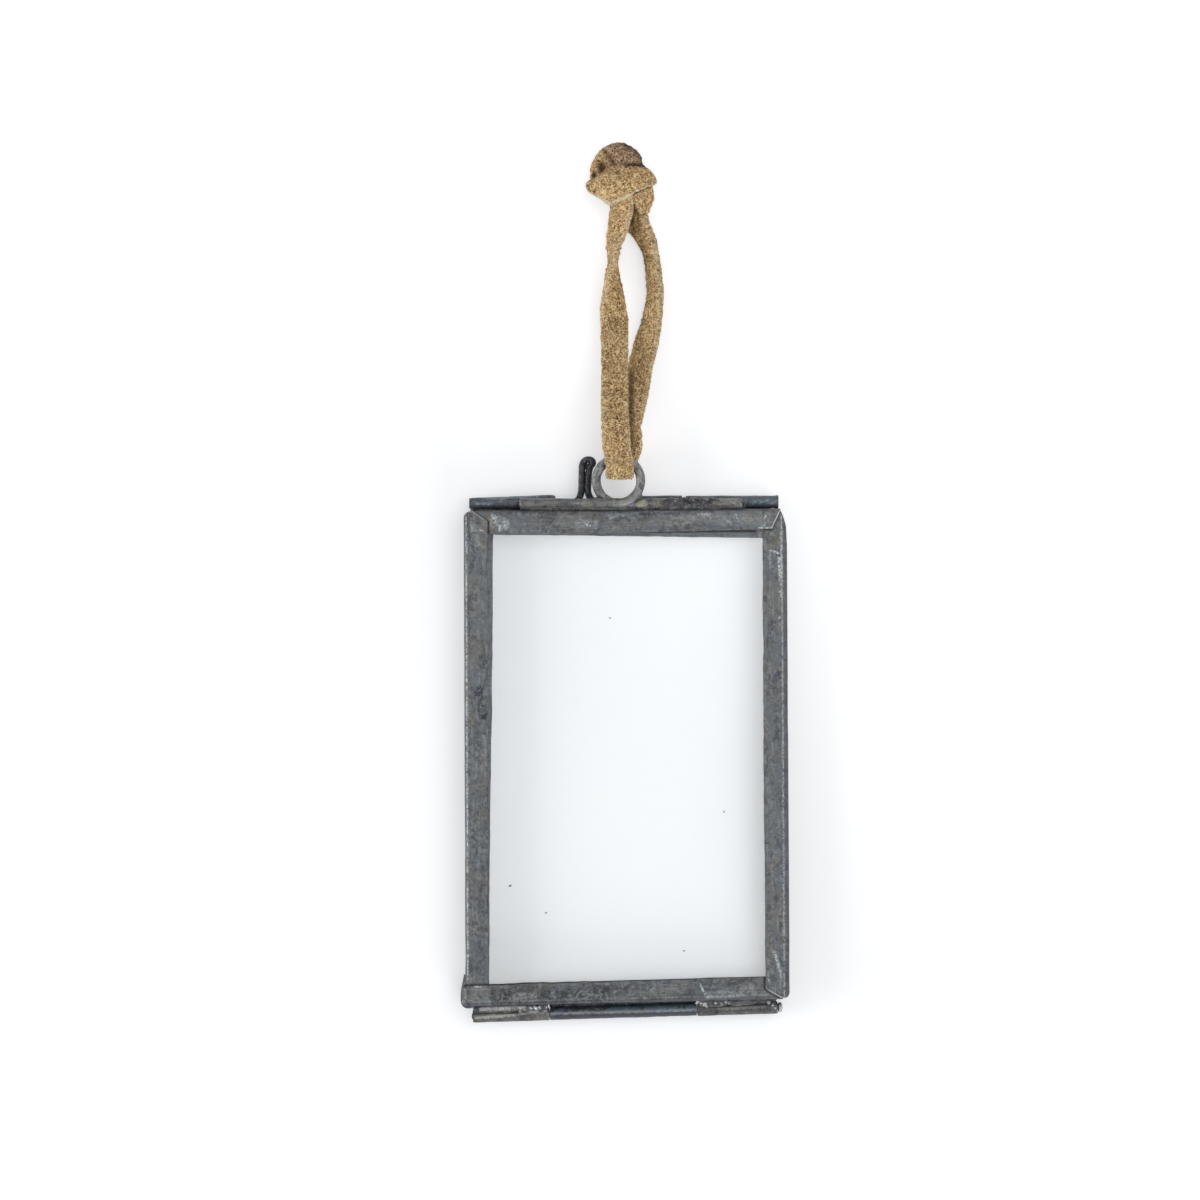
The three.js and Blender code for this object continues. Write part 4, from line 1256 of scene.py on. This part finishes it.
def add_hinge_beads(left_end, right, right_end):
    """Bright beads where the solder took last."""
    # Along the pin from one end of a knuckle, across it, above it, and radius
    beads = [(left_end + x, y, z, r) for x, y, z, r in (
        (-3.3, 1.35, 1.7, 0.42), (-2.6, 1.5, 1.8, 0.28), (-2.3, 1.25, 1.75, 0.4),
        (-1.5, 1.4, 1.8, 0.5), (-0.9, 1.35, 1.8, 0.3), (-0.5, 1.6, 1.8, 0.42),
        (-4.5, 1.15, 1.55, 0.3), (-5.3, 0.8, 1.45, 0.26))]
    beads += [(right + x, y, z, r) for x, y, z, r in (
        (0.6, 1.35, 1.8, 0.32), (1.3, 1.15, 1.8, 0.5), (1.6, 0.75, 1.6, 0.34),
        (3.3, 1.25, 1.8, 0.32), (4.5, 1.1, 1.8, 0.34), (5.2, 1.4, 1.85, 0.42),
        (5.8, 1.2, 1.8, 0.3))]
    beads += [(right_end + x, y, z, r) for x, y, z, r in (
        (-1.6, 1.1, 1.2, 0.42), (-0.9, 0.5, 1.35, 0.34), (-0.5, 0.0, 1.35, 0.3))]
    shells = [
        solder_shell(swell(x, y, z - r * 0.4, r, r, r, 7, 1.04), r * 0.35, x, 12, r / 5)
        for x, y, z, r in beads]
    points, faces = joined(shells)
    add_piece(
        "hinge_solder_beads", along_hinge(points), faces, "bright_solder", "front_leaf", ())


def add_hinge_pin():
    """The pin's wire and the bright bead on its end."""
    start, end = hinge_reach("hinge_pin")
    points, faces = wire_shell(
        [(x, 0, 0) for x in np.linspace(start, end, 60)], cad_radius("hinge_pin"), 16, 0.01)
    add_piece(
        "hinge_pin_wire", along_hinge(points), faces, "bolt_wire", "front_leaf", ["hinge_pin"])
    start, end = hinge_reach("hinge_pin_bead")
    radius = cad_radius("hinge_pin_bead")
    stations = [
        (start - 0.1, 0, 0, radius, radius), (end + 0.25, 0.1, 0.1, radius * 0.9, radius * 0.9)]
    points, faces = solder_shell(stations, 0.16, 5, 20, 0.09)
    add_piece(
        "hinge_pin_blob", along_hinge(points), faces, "bright_solder", "front_leaf",
        ["hinge_pin_bead"])


class AddHinge(bpy.types.Operator):
    """Rolls the three knuckles on their pin and runs solder along their seams"""

    bl_idname = "hanging_frame.add_hinge"
    bl_label = "Hinge"

    def execute(self, context):
        left, left_end = hinge_reach("front_left_knuckle")
        right, right_end = hinge_reach("front_right_knuckle")
        add_knuckles()
        add_hinge_solder(left, left_end, right, right_end)
        add_hinge_beads(left_end, right, right_end)
        add_hinge_pin()
        return {"FINISHED"}


def at_latch(points):
    """Points round the latch tubes' axis, moved to it."""
    return points + np.array((0, LATCH_Y, TUBE_Z))


def add_latch_tubes():
    """The rolled tubes that the bolt slides in. The left one is pinched at its outer end."""
    left, left_end = LATCH_LEFT
    keeper, keeper_end = LATCH_KEEPER
    right, right_end = LATCH_RIGHT
    wall = 0.3
    turns = 44
    seam = 3.6
    dents = 0.03
    even = TUBE_RADIUS
    flared_end = right_end + 0.2
    # Node, body, start and end, tables of its axis and radius, seed
    tubes = [
        ("latch_left_tube", "rear_leaf", left, left_end, [(left, -0.3), (left_end, 0)],
         [(left, 1.02), (left_end - 3, 1.28), (left_end - 0.7, 1.32), (left_end, 1.18)], 1),
        ("latch_keeper_tube", "front_leaf", keeper, keeper_end, [(0, 0)],
         [(keeper, even), (keeper_end, even)], 2),
        ("latch_right_tube", "rear_leaf", right, flared_end, [(0, 0)],
         [(right, even), (right_end - 1, even), (flared_end, even + 0.16)], 3),
    ]
    for node, body, start, end, offset, radii, seed in tubes:
        points, faces = tube_shell(
            start, end, offset, radii, wall, turns, seam, dents, seed)
        add_piece(
            f"{node}_sheet", at_latch(points), faces, "rolled_tube", body, [node])
    drop = -(LATCH_Y - LEAF_TOP) + 0.25
    # Node, body, start and end, height above the axis, half height across and above
    runs = [
        ("latch_left_tube_solder", "rear_leaf", left + 0.2, left_end - 1, -1.1, 0.6, 0.55, 0.6),
        ("latch_right_tube_solder", "rear_leaf", right + 1, right_end - 1, -1.1, 0.55, 0.55, 0.6),
        ("latch_keeper_tube_solder", "front_leaf", keeper + 0.7, keeper_end - 0.7, 0.75, 0.5,
         0.5, 0.45),
    ]
    for seed, (node, body, start, end, z, first_y, last_y, half_z) in enumerate(runs):
        stations = [(start, drop, z, first_y, half_z), (end, drop, z, last_y, half_z)]
        add_solder_run(node, body, "dull_solder", stations, 0.16, seed + 20, at_latch)


def add_bolt():
    """The sliding bolt, with the hairpin of its handle pinched nearly shut."""
    low, high = cad_span("latch_bolt", 0)
    radius = cad_radius("latch_bolt")
    crown = cad_span("latch_bolt", 1)[1] - LATCH_Y - radius - 0.13
    route = [
        # Through the left tube
        (low + 0.1, -0.27), (-24.4, -0.25), (-21, -0.17), (-16, -0.03), (-12.6, 0), (-10.9, 0.0),
        (-9.9, 0.0),
        # Up the handle's left leg and over its crown
        (-9.25, 0.1), (-8.7, 0.62), (-8.38, 1.5), (-8.24, 2.5), (-8.19, 3.6), (-8.17, 4.9),
        (-8.14, 6.2), (-8.08, crown - 1.0), (-7.86, crown - 0.45), (-7.5, crown - 0.12),
        (-7.05, crown), (-6.5, crown - 0.1), (-6.17, crown - 0.45), (-6.22, crown - 0.85),
        # Down its right leg and on into the keeper tube
        (-6.5, 6.75), (-6.72, 6.2), (-6.88, 5.5), (-6.98, 4.4), (-7.04, 3.2), (-7.08, 2.3),
        (-6.96, 1.5), (-6.62, 0.75), (-6.05, 0.15), (-5.3, 0.0), (-4.0, 0), (-2, 0),
        (high - 0.1, 0),
    ]
    line = smooth_line([(x, y, 0) for x, y in route], 10, 0.2)
    wire = wire_shell(line, radius + 0.04, 20, 0.02, 2)
    # A dark plug of painted shade fills the pinch, so no light shows between the strands
    shade_plug = swell(-7.28, crown - 1.35, 0, 0.32, 0.75, 0.35, 9, 1.05)
    points, faces = joined([wire, solder_shell(shade_plug, 0.03, 8, 14, 0.08)])
    add_piece(
        "latch_bolt_wire", at_latch(points), faces, "bolt_wire", "latch", ["latch_bolt"])


class AddLatch(bpy.types.Operator):
    """Rolls the latch tubes, bends the sliding bolt with its handle and solders the seams"""

    bl_idname = "hanging_frame.add_latch"
    bl_label = "Latch"

    def execute(self, context):
        add_latch_tubes()
        add_bolt()
        return {"FINISHED"}


def ring_line():
    """The ring's wire: left tail, one turn that starts in front, and right tail."""
    low, high = cad_span("hanging_ring", 0)
    tail_y = LEAF_TOP + RING_RISE
    centre_y = tail_y + RING_TURN_RADIUS
    step = 0.25
    turn_steps = 120
    line = []
    for x in np.arange(low, RING_X, step):
        rise = smooth_between(x, LATCH_LEFT[1] + 1.6, RING_X - RING_TURN_RADIUS)
        z = RING_TAIL_Z + (RING_FRONT_Z - RING_TAIL_Z) * rise
        line.append((x, tail_y + 0.04 * wobble((x, 0, 0), 6, 1), z))
    for k in range(turn_steps + 1):
        turn = k / turn_steps
        angle = 2 * math.pi * turn
        fall = smooth_between(turn, 0.6, 0.88)
        line.append((
            RING_X + RING_TURN_RADIUS * math.sin(angle),
            centre_y - RING_TURN_RADIUS * math.cos(angle),
            RING_FRONT_Z + (RING_TAIL_Z - RING_FRONT_Z) * fall))
    for x in np.arange(RING_X + step, high, step):
        line.append((x, tail_y + 0.05 * wobble((x, 0, 0), 5, 2), RING_TAIL_Z))
    return even_steps(np.array(line), 0.22)


class AddRing(bpy.types.Operator):
    """Bends the hanging ring and floods its tails with solder"""

    bl_idname = "hanging_frame.add_ring"
    bl_label = "Ring"

    def execute(self, context):
        points, faces = wire_shell(ring_line(), 0.85, 24, 0.05, 6)
        add_piece(
            "hanging_ring_wire", points, faces, "ring_wire", "front_leaf", ["hanging_ring"])
        tail = LEAF_TOP + RING_RISE
        seam = LEAF_TOP + 0.6
        left_run = [
            (-19.6, seam, 4.6, 0.5, 0.6), (-16, seam, 4.75, 0.62, 0.65),
            (-11, seam, 4.8, 0.65, 0.7), (-8, seam + 0.2, 4.9, 0.75, 0.8),
            (-6.2, seam + 0.1, 4.9, 0.75, 0.85), (-3, seam + 0.1, 5.0, 0.7, 0.8),
            (0.5, seam + 0.1, 5.0, 0.7, 0.8),
        ]
        right_run = [
            (0.2, seam + 0.1, 4.9, 0.75, 0.8), (3, seam + 0.2, 4.9, 0.8, 0.8),
            (5.2, tail - 0.4, 5.0, 0.95, 0.9), (7.2, tail - 0.25, 5.0, 1.15, 1.15),
            (10, tail - 0.2, 5.0, 1.2, 1.2), (14, tail - 0.2, 5.0, 1.2, 1.15),
            (17, tail - 0.3, 4.95, 1.15, 1.1), (19.5, tail - 0.3, 4.9, 1.05, 1.05),
            (21.5, tail - 0.4, 4.8, 0.9, 0.9), (22.3, tail - 0.7, 4.7, 0.5, 0.6),
        ]
        add_solder_run("ring_left_solder", "front_leaf", "dull_solder", left_run, 0.16, 41)
        add_solder_run("ring_right_solder", "front_leaf", "dark_solder", right_run, 0.24, 47)
        # Middle and half sizes of the crusted patches beside the handle and at the crossing, and
        # of the webs at the tails' ends, round the crossing and beside the turn
        crusts = [
            (-6.9, tail - 0.3, 5.6, 1.1, 0.55, 0.5), (2.9, tail - 0.15, 5.75, 1.35, 0.7, 0.7),
        ]
        webs = [
            (-18.9, tail - 0.3, 5.45, 0.75, 0.6, 0.5), (-17.2, tail + 0.1, 5.6, 0.7, 0.3, 0.35),
            (0.9, tail + 0.5, 5.5, 1.5, 0.7, 0.75), (2.2, tail + 1.3, 5.5, 0.85, 1.3, 0.7),
            (17.6, tail - 0.1, 5.8, 1.8, 0.5, 0.5), (20.7, tail - 0.2, 5.5, 0.8, 0.7, 0.6),
            (-5.4, tail + 0.5, 6.0, 0.9, 0.6, 0.7), (5.6, tail - 0.2, 5.2, 1.4, 0.9, 0.85),
        ]
        for name, lumps, finish in (
                ("ring_solder_crusts", crusts, "crusted_solder"),
                ("ring_solder_webs", webs, "dull_solder")):
            shells = [
                solder_shell(swell(*lump, 13, 1.03), 0.09, lump[0] + 60, 20, 0.12)
                for lump in lumps]
            points, faces = joined(shells)
            add_piece(name, points, faces, finish, "front_leaf", ())
        return {"FINISHED"}


# Lace and knot


LACE_STEP = 0.17


def from_ring_top(rows):
    """Rows whose x and y are from the top of the ring's turn, moved to the frame's."""
    moved = np.array(rows, float)
    moved[:, :2] += (RING_X, RING_TOP_Y)
    return moved


def suede_section(width, thickness, count):
    """Points round a flat strip's section, soft at its corners."""
    outline = []
    for k in range(361):
        angle = math.radians(k)
        x, y = math.cos(angle), math.sin(angle)
        outline.append((
            width / 2 * math.copysign(abs(x) ** 0.5, x),
            thickness / 2 * math.copysign(abs(y) ** 0.5, y)))
    return spaced(np.array(outline), count, closed=True)


def napped(point, outward, height, seed):
    """The point moved in or out by the suede's tufts."""
    lift = (
        0.45 * wobble(point, 0.8, seed) + 0.7 * wobble(point, 0.34, seed + 2)
        + 0.45 * wobble(point, 0.17, seed + 5))
    return point + outward * height * lift, lift


def lace_centre():
    """The lace's line with its roll, in millimetres and degrees."""
    fold = [(-0.2, 1.2, RING_FRONT_Z + FOLD_RADIUS, 180)]
    for k in range(FOLD_STEPS + 1):
        angle = math.pi * k / FOLD_STEPS
        fold.append((
            FOLD_X, FOLD_Y - FOLD_RADIUS * math.sin(angle),
            RING_FRONT_Z + FOLD_RADIUS * math.cos(angle), 180))
    fold.append((1.5, 1, RING_FRONT_Z - FOLD_RADIUS, 178))
    under_knot = [(0.9, 50.6, 4.3, 30)]
    behind_knot = [(2.0, 50.4, 1.9, 172)]
    route = from_ring_top([*under_knot, *LACE_FRONT, *fold, *LACE_BACK, *behind_knot])
    return smooth_line(route, 26, LACE_STEP)


def below_band(x, y):
    """The shade just below the knot's band."""
    edge = 47.3 + 0.42 * (x + 1.7)
    return smooth_between(y, edge - 0.75, edge + 0.1) * 0.85 if -2.5 < x < 6.5 else 0.0


def between_strands(x, y, z):
    """Painted shade in the slits beside the front strand, on the back one."""
    below_knot = 0.85 * bell((x - 2.6) / 0.75, (y - 43.9) / 2.0)
    above_ring = 0.9 * bell((x - 2.3) / 0.75) * smooth_between(x, 1.7, 1.95)
    above_ring *= smooth_between(y, -1.5, 0) * smooth_between(y, 20, 14)
    return below_knot * (z < 3.4) + above_ring * (z < 5.8)


def darker_stretches(x, y, z):
    """The strands' darker stretches: where the lace rises towards the ring, and along the back
    strand below the knot.
    """
    front = 0.1 * smooth_between(z, 2.6, 4.5) * smooth_between(y, 33, 22)
    back = 0.12 * smooth_between(x, 2.8, 4.5) * smooth_between(y, 44, 40)
    return max(front, back)


def lace_shade(at):
    """How dark the lace is painted at a point, from 0 to 1: painted shade below the knot's band and
    in the slits, and the strands' darker stretches.
    """
    x, y, z = at[0] - RING_X, at[1] - RING_TOP_Y, at[2]
    return max(below_band(x, y), between_strands(x, y, z), darker_stretches(x, y, z))


def ribbon_shell(line, width, thickness, count, seed, cup, widths=((0, 1), (1, 1))):
    """A napped strip along a line with roll. cup is how far its edges curl, and widths scales its
    width along the way."""
    centre, roll = line[:, :3], np.radians(line[:, 3])
    nap = sizes().nap / MM
    section = suede_section(width, thickness, count)
    rings, edges, hollows, grime_and_shade_values = [], [], [], []
    for k, (point, tangent) in enumerate(zip(centre, directions(centre))):
        across = unit(np.array((1.0, 0, 0)) - tangent * tangent[0])
        side = across * math.cos(roll[k]) + np.cross(tangent, across) * math.sin(roll[k])
        face = np.cross(tangent, side)
        scale = table_at(widths, k / (len(centre) - 1)) * (1 + 0.03 * wobble(point, 5, seed))
        ring = []
        for u, v in section:
            bend = cup * (u / width * 2) ** 2
            at = point + side * u * scale + face * (v + bend)
            outward = side * u / width * 0.6 + face * v / thickness
            if abs(u) > width * 0.44:
                outward = side * math.copysign(1, u) + face * v / thickness
            at, lift = napped(at, unit(outward, 1e-9), nap, seed)
            ring.append(at)
            hollows.append(-0.6 * lift)
            edges.append(0.35 if abs(u) > width * 0.46 else 0.0)
            grime_and_shade_values.append(lace_shade(at))
        rings.append(np.array(ring))
    points, faces = loft(rings)
    return points, faces, {"cut_edge": edges, "hollow": hollows, "grime_and_shade": grime_and_shade_values}


class AddLace(bpy.types.Operator):
    """Lays the suede lace from the knot through the ring and back"""

    bl_idname = "hanging_frame.add_lace"
    bl_label = "Lace"

    def execute(self, context):
        size = sizes()
        line = lace_centre()
        width, thickness = size.lace_width / MM, size.lace_thickness / MM
        points, faces, stored = ribbon_shell(line, width, thickness, 76, 4, -0.15)
        points[:, 2] = np.maximum(points[:, 2], 0.0)
        lace = add_piece(
            "suede_lace", points, faces, "napped_suede", "front_leaf", ["hanging_lace"],
            stored)
        return {"FINISHED"}


KNOT_PIECES = ["knot_dome", "knot_band", "knot_tail"]

# The knot's outlines: x and y from the top of the ring's turn
BAND_UPPER = [
    (-6.0, 51.2), (-4.9, 51.9), (-3.8, 52.4), (-2.9, 53.2), (-2.1, 53.9), (-0.6, 54.2),
    (1.2, 54.15), (3.2, 54.15), (5.1, 53.9), (6.2, 53.1), (7.15, 51.8),
]
BAND_LOWER = [
    (-6.1, 50.8), (-5.6, 49.7), (-4.5, 49.0), (-3.4, 48.3), (-2.3, 47.4), (-1.4, 47.0),
    (0.0, 47.5), (1.8, 48.35), (3.4, 49.4), (5.3, 50.2), (6.8, 51.0), (7.15, 51.4),
]
DOME_OUTLINE = [
    (-5.2, 51.6), (-5.2, 53.7), (-4.5, 55.7), (-3.4, 57.2), (-2.3, 58.0), (-0.4, 58.7),
    (1.6, 58.4), (3.1, 57.4), (4.2, 56.2), (4.45, 54.9), (5.2, 53.9), (5.6, 52.6),
    (4.6, 50.6), (2.0, 49.4), (-0.6, 49.2), (-3.4, 50.0),
]


# Hollows in the dome: middle and half size
DOME_HOLLOWS = [(-3.0, 53.8, 0.85, 1.5), (-4.4, 52.4, 0.55, 1.3)]
DOME_MIDDLE = np.array((0.0, 53.6))
# The tail's route, with z from the floor and roll in degrees, and its width along the way
TAIL_ROUTE = [
    (1.9, 53.0, 2.6, 168), (3.3, 51.2, 4.2, 166), (4.3, 49.4, 4.6, 162), (4.6, 47.8, 4.2, 158),
    (4.6, 46.4, 3.6, 156), (4.6, 45.7, 3.3, 156),
]
TAIL_WIDTHS = [(0, 0.9), (0.5, 1.0), (0.75, 0.85), (1, 0.42)]


def outline_at(outline, count, closed=False):
    """The outline's curve at even steps."""
    points = [(*p, 0) for p in outline]
    if closed:
        points = [*points, points[0]]
    return spaced(catmull_rom(points, 12), count, closed)[:, :2]


def knot_band():
    """The wide turn of lace across the knot's front, its ends folded away behind."""
    columns, rows = 76, 40
    upper = outline_at(BAND_UPPER, columns)
    lower = outline_at(BAND_LOWER, columns)
    nap = sizes().nap / MM
    rings, kept = [], []
    for i in range(columns):
        u = 2 * i / (columns - 1) - 1
        arch = math.sqrt(max(1 - abs(u) ** 2.4, 0.0))
        front, back, values = [], [], []
        for j in range(rows):
            v = j / (rows - 1)
            x, y = upper[i] * (1 - v) + lower[i] * v
            crown = 0.72 + 0.28 * math.sin(math.pi * min(max(v * 1.02, 0), 1)) ** 0.6
            lump = 0.35 * bell(math.hypot(x + 0.9, y - 52.3) / math.sqrt(5.0))
            crease = 0.55 * bell((x + 0.4 - (y - 52.6) * 0.3) / 0.55, (y - 53.0) / 0.7)
            z = 2.2 + 5.3 * arch * crown + lump - crease + 0.22 * wobble((x, y, 0), 2.6, 3)
            point = np.array((x + RING_X, y + RING_TOP_Y, z))
            at, lift = napped(point, unit(np.array((u * 0.9, (0.5 - v) * 0.9, 0.7))), nap, 21)
            front.append(at)
            back.append(point + np.array((0, (v - 0.5) * -0.3, -1.35 * max(arch, 0.6))))
            # rim is the pale cut edge; the pit and the band's upper left edge get painted shade
            rim = smooth_between(v, 0.89, 0.95) * smooth_between(u, -0.75, -0.3)
            pit = bell((x - 0.05) / 0.6, (y - 52.75) / 0.3)
            shade = smooth_between(v, 0.16, 0.0) * smooth_between(u, -0.1, -0.5)
            values.append((rim, -0.6 * lift, max(pit * 0.8, shade * 0.7)))
        rings.append(np.array(front + back[::-1]))
        kept += values + values[::-1]
    points, faces = loft(rings)
    cut_edge, hollow, grime_and_shade = np.array(kept).T
    return points, faces, {"cut_edge": cut_edge, "hollow": hollow, "grime_and_shade": grime_and_shade}


def knot_dome():
    """The doubled lace that bulges out above the band, creased where its turns meet."""
    around, levels = 110, 46
    middle_z = 3.3
    outline = outline_at(DOME_OUTLINE, around, closed=True)
    nap = sizes().nap / MM * 0.7
    rings, grime_and_shade_values, pales, hollows = [], [], [], []
    for k in range(levels):
        height = -math.pi / 2 + math.pi * (k + 0.5) / levels
        spread = math.cos(height) ** 0.75
        ring = []
        for outline_point in outline:
            x, y = DOME_MIDDLE + (outline_point - DOME_MIDDLE) * spread
            z = middle_z + 3.1 * math.sin(height)
            hollow = max(
                bell((x - hollow_x) / half_x, (y - hollow_y) / half_y)
                for hollow_x, hollow_y, half_x, half_y in DOME_HOLLOWS)
            crease = bell((x + 1.9 + (y - 56) * 0.7) / 0.35) * (y > 53)
            ridge = bell((x + 2.7 + (y - 56) * 0.75) / 0.4) * (y > 53)
            if z > middle_z:
                z += 0.35 * ridge - 0.5 * crease - 1.5 * hollow
                z += 0.28 * wobble((x, y, 0), 1.8, 7)
            point = np.array((x + RING_X, y + RING_TOP_Y, max(z, 0.05)))
            outward = np.array((x - DOME_MIDDLE[0], y - DOME_MIDDLE[1], 3 * math.sin(height)))
            point, lift = napped(point, unit(outward, 1e-9), nap, 33)
            ring.append(point)
            hollows.append(-0.6 * lift)
            # Painted shade: in the hollows and crease, in the crack above the band and round the
            # dome's right rim
            crack = bell((y - 54.3) / 0.5) * smooth_between(x, 0.5, 1.8)
            rim = smooth_between(np.hypot(x - 0.2, (y - 53.4) * 0.95), 3.8, 4.7)
            rim *= smooth_between(x, 0.0, 1.5)
            grime_and_shade_values.append(min(1.0, hollow + crease * 0.45 + crack + rim * 0.75))
            # Its left and upper rim show the lace's pale nap
            pales.append(smooth_between(x + 0.35 * (y - 53), -0.2, -2.4))
        rings.append(np.array(ring))
    points, faces = loft(rings)
    return points, faces, {"grime_and_shade": grime_and_shade_values, "turned": pales, "hollow": hollows}


def knot_tail():
    """The lace's short end below the band, and the turn that it comes out of."""
    line = smooth_line(from_ring_top(TAIL_ROUTE), 14, LACE_STEP)
    return ribbon_shell(line, 4.4, 1.4, 64, 51, -0.2, TAIL_WIDTHS)


class AddKnot(bpy.types.Operator):
    """Ties the lace's two ends: a dome of doubled lace, a band round it and a short tail"""

    bl_idname = "hanging_frame.add_knot"
    bl_label = "Knot"

    def execute(self, context):
        made = [
            (knot_dome(), "dark_hide", "suede_dark"), (knot_band(), "napped_suede", "suede"),
            (knot_tail(), "napped_suede", "suede"),
        ]
        for name, ((points, faces, stored), finish, slot) in zip(KNOT_PIECES, made):
            add_piece(name, points, faces, finish, "front_leaf", ["lace_knot"], stored)
        return {"FINISHED"}


# Stage


# The middle of the view: x, and y from the leaves' top edge
VIEW_MIDDLE = (-4.815, -16.48)
SENSOR_WIDTH = 36


class SetStage(bpy.types.Operator):
    """Sets the camera, the lamps, the sky and the white floor"""

    bl_idname = "hanging_frame.set_stage"
    bl_label = "Stage"

    def execute(self, context):
        scene = context.scene
        self.set_camera(scene)
        self.set_lamps()
        self.lay_floor()
        scene.world = even_sky()
        scene.view_settings.view_transform = "Standard"
        return {"FINISHED"}

    def set_camera(self, scene):
        """Looks straight down on the frame."""
        stage = stage_settings()
        data = bpy.data.cameras.new("camera")
        data.sensor_width = SENSOR_WIDTH
        data.lens = SENSOR_WIDTH * stage.camera_height / stage.view_width
        data.clip_start = 0.01
        data.clip_end = 20
        scene.camera = add_object("camera", data)
        middle = Vector((VIEW_MIDDLE[0], LEAF_TOP + VIEW_MIDDLE[1], FRONT_FACE)) * MM
        scene.camera.location = middle + Vector((0, 0, stage.camera_height))

    def set_lamps(self):
        """Hangs three soft lamps that face the frame."""
        stage = stage_settings()
        # Name, place, width and power
        lamps = [
            ("softbox", (0.58, 0.25, 1.35), 1.2, stage.key_power),
            ("left_lamp", (-0.9, -0.1, 0.36), 0.5, stage.side_power),
            ("lower_right_lamp", (0.45, -0.85, 0.36), 0.5, stage.side_power * 0.75),
        ]
        for name, place, width, power in lamps:
            data = bpy.data.lights.new(name, "AREA")
            data.size = width
            data.energy = power
            lamp = add_object(name, data)
            lamp.location = place
            lamp.rotation_mode = "QUATERNION"
            lamp.rotation_quaternion = lamp.location.to_track_quat("Z", "Y")
            lamp.visible_camera = False

    def lay_floor(self):
        """Lays the white floor just below the frame."""
        reach = 1.5
        drop = 0.00003
        corners = [(-reach, -reach, 0), (reach, -reach, 0), (reach, reach, 0), (-reach, reach, 0)]
        mesh = bpy.data.meshes.new("floor")
        mesh.from_pydata(corners, [], [(0, 1, 2, 3)])
        mesh.materials.append(white_floor())
        floor = add_object("floor", mesh)
        floor.location.z = -drop


class PicturePanel(bpy.types.Panel):
    """Lists the frame's pieces and sizes"""

    bl_idname = "VIEW3D_PT_hanging_frame"
    bl_label = "Picture Frame"
    bl_space_type = "VIEW_3D"
    bl_region_type = "UI"
    bl_category = "Picture Frame"

    def draw(self, context):
        layout = self.layout
        for name in GROUPS:
            group = getattr(context.scene, name)
            box = layout.box()
            for key in group.__annotations__:
                box.prop(group, key)
        for operator in OPERATORS:
            layout.operator(operator.bl_idname)


# The stage and the lace come first; the lace needs its knot
OPERATORS = [
    SetStage, AddKnot, AddLace, AddCameStrips, GlazeLeaves, AddHinge, AddLatch, AddRing,
]
GROUPS = {
    "hanging_frame_sizes": FrameSizes,
    "hanging_frame_colours": FrameColours,
    "hanging_frame_stage": StageSettings,
}


def register():
    for group in GROUPS.values():
        bpy.utils.register_class(group)
    for name, group in GROUPS.items():
        setattr(bpy.types.Scene, name, bpy.props.PointerProperty(type=group))
    for operator in OPERATORS:
        bpy.utils.register_class(operator)
    bpy.utils.register_class(PicturePanel)


def unregister():
    bpy.utils.unregister_class(PicturePanel)
    for operator in reversed(OPERATORS):
        bpy.utils.unregister_class(operator)
    for name, group in GROUPS.items():
        delattr(bpy.types.Scene, name)
        bpy.utils.unregister_class(group)


def main():
    register()
    for operator in OPERATORS:
        family, name = operator.bl_idname.split(".")
        getattr(getattr(bpy.ops, family), name)()


if __name__ == "__main__":
    main()
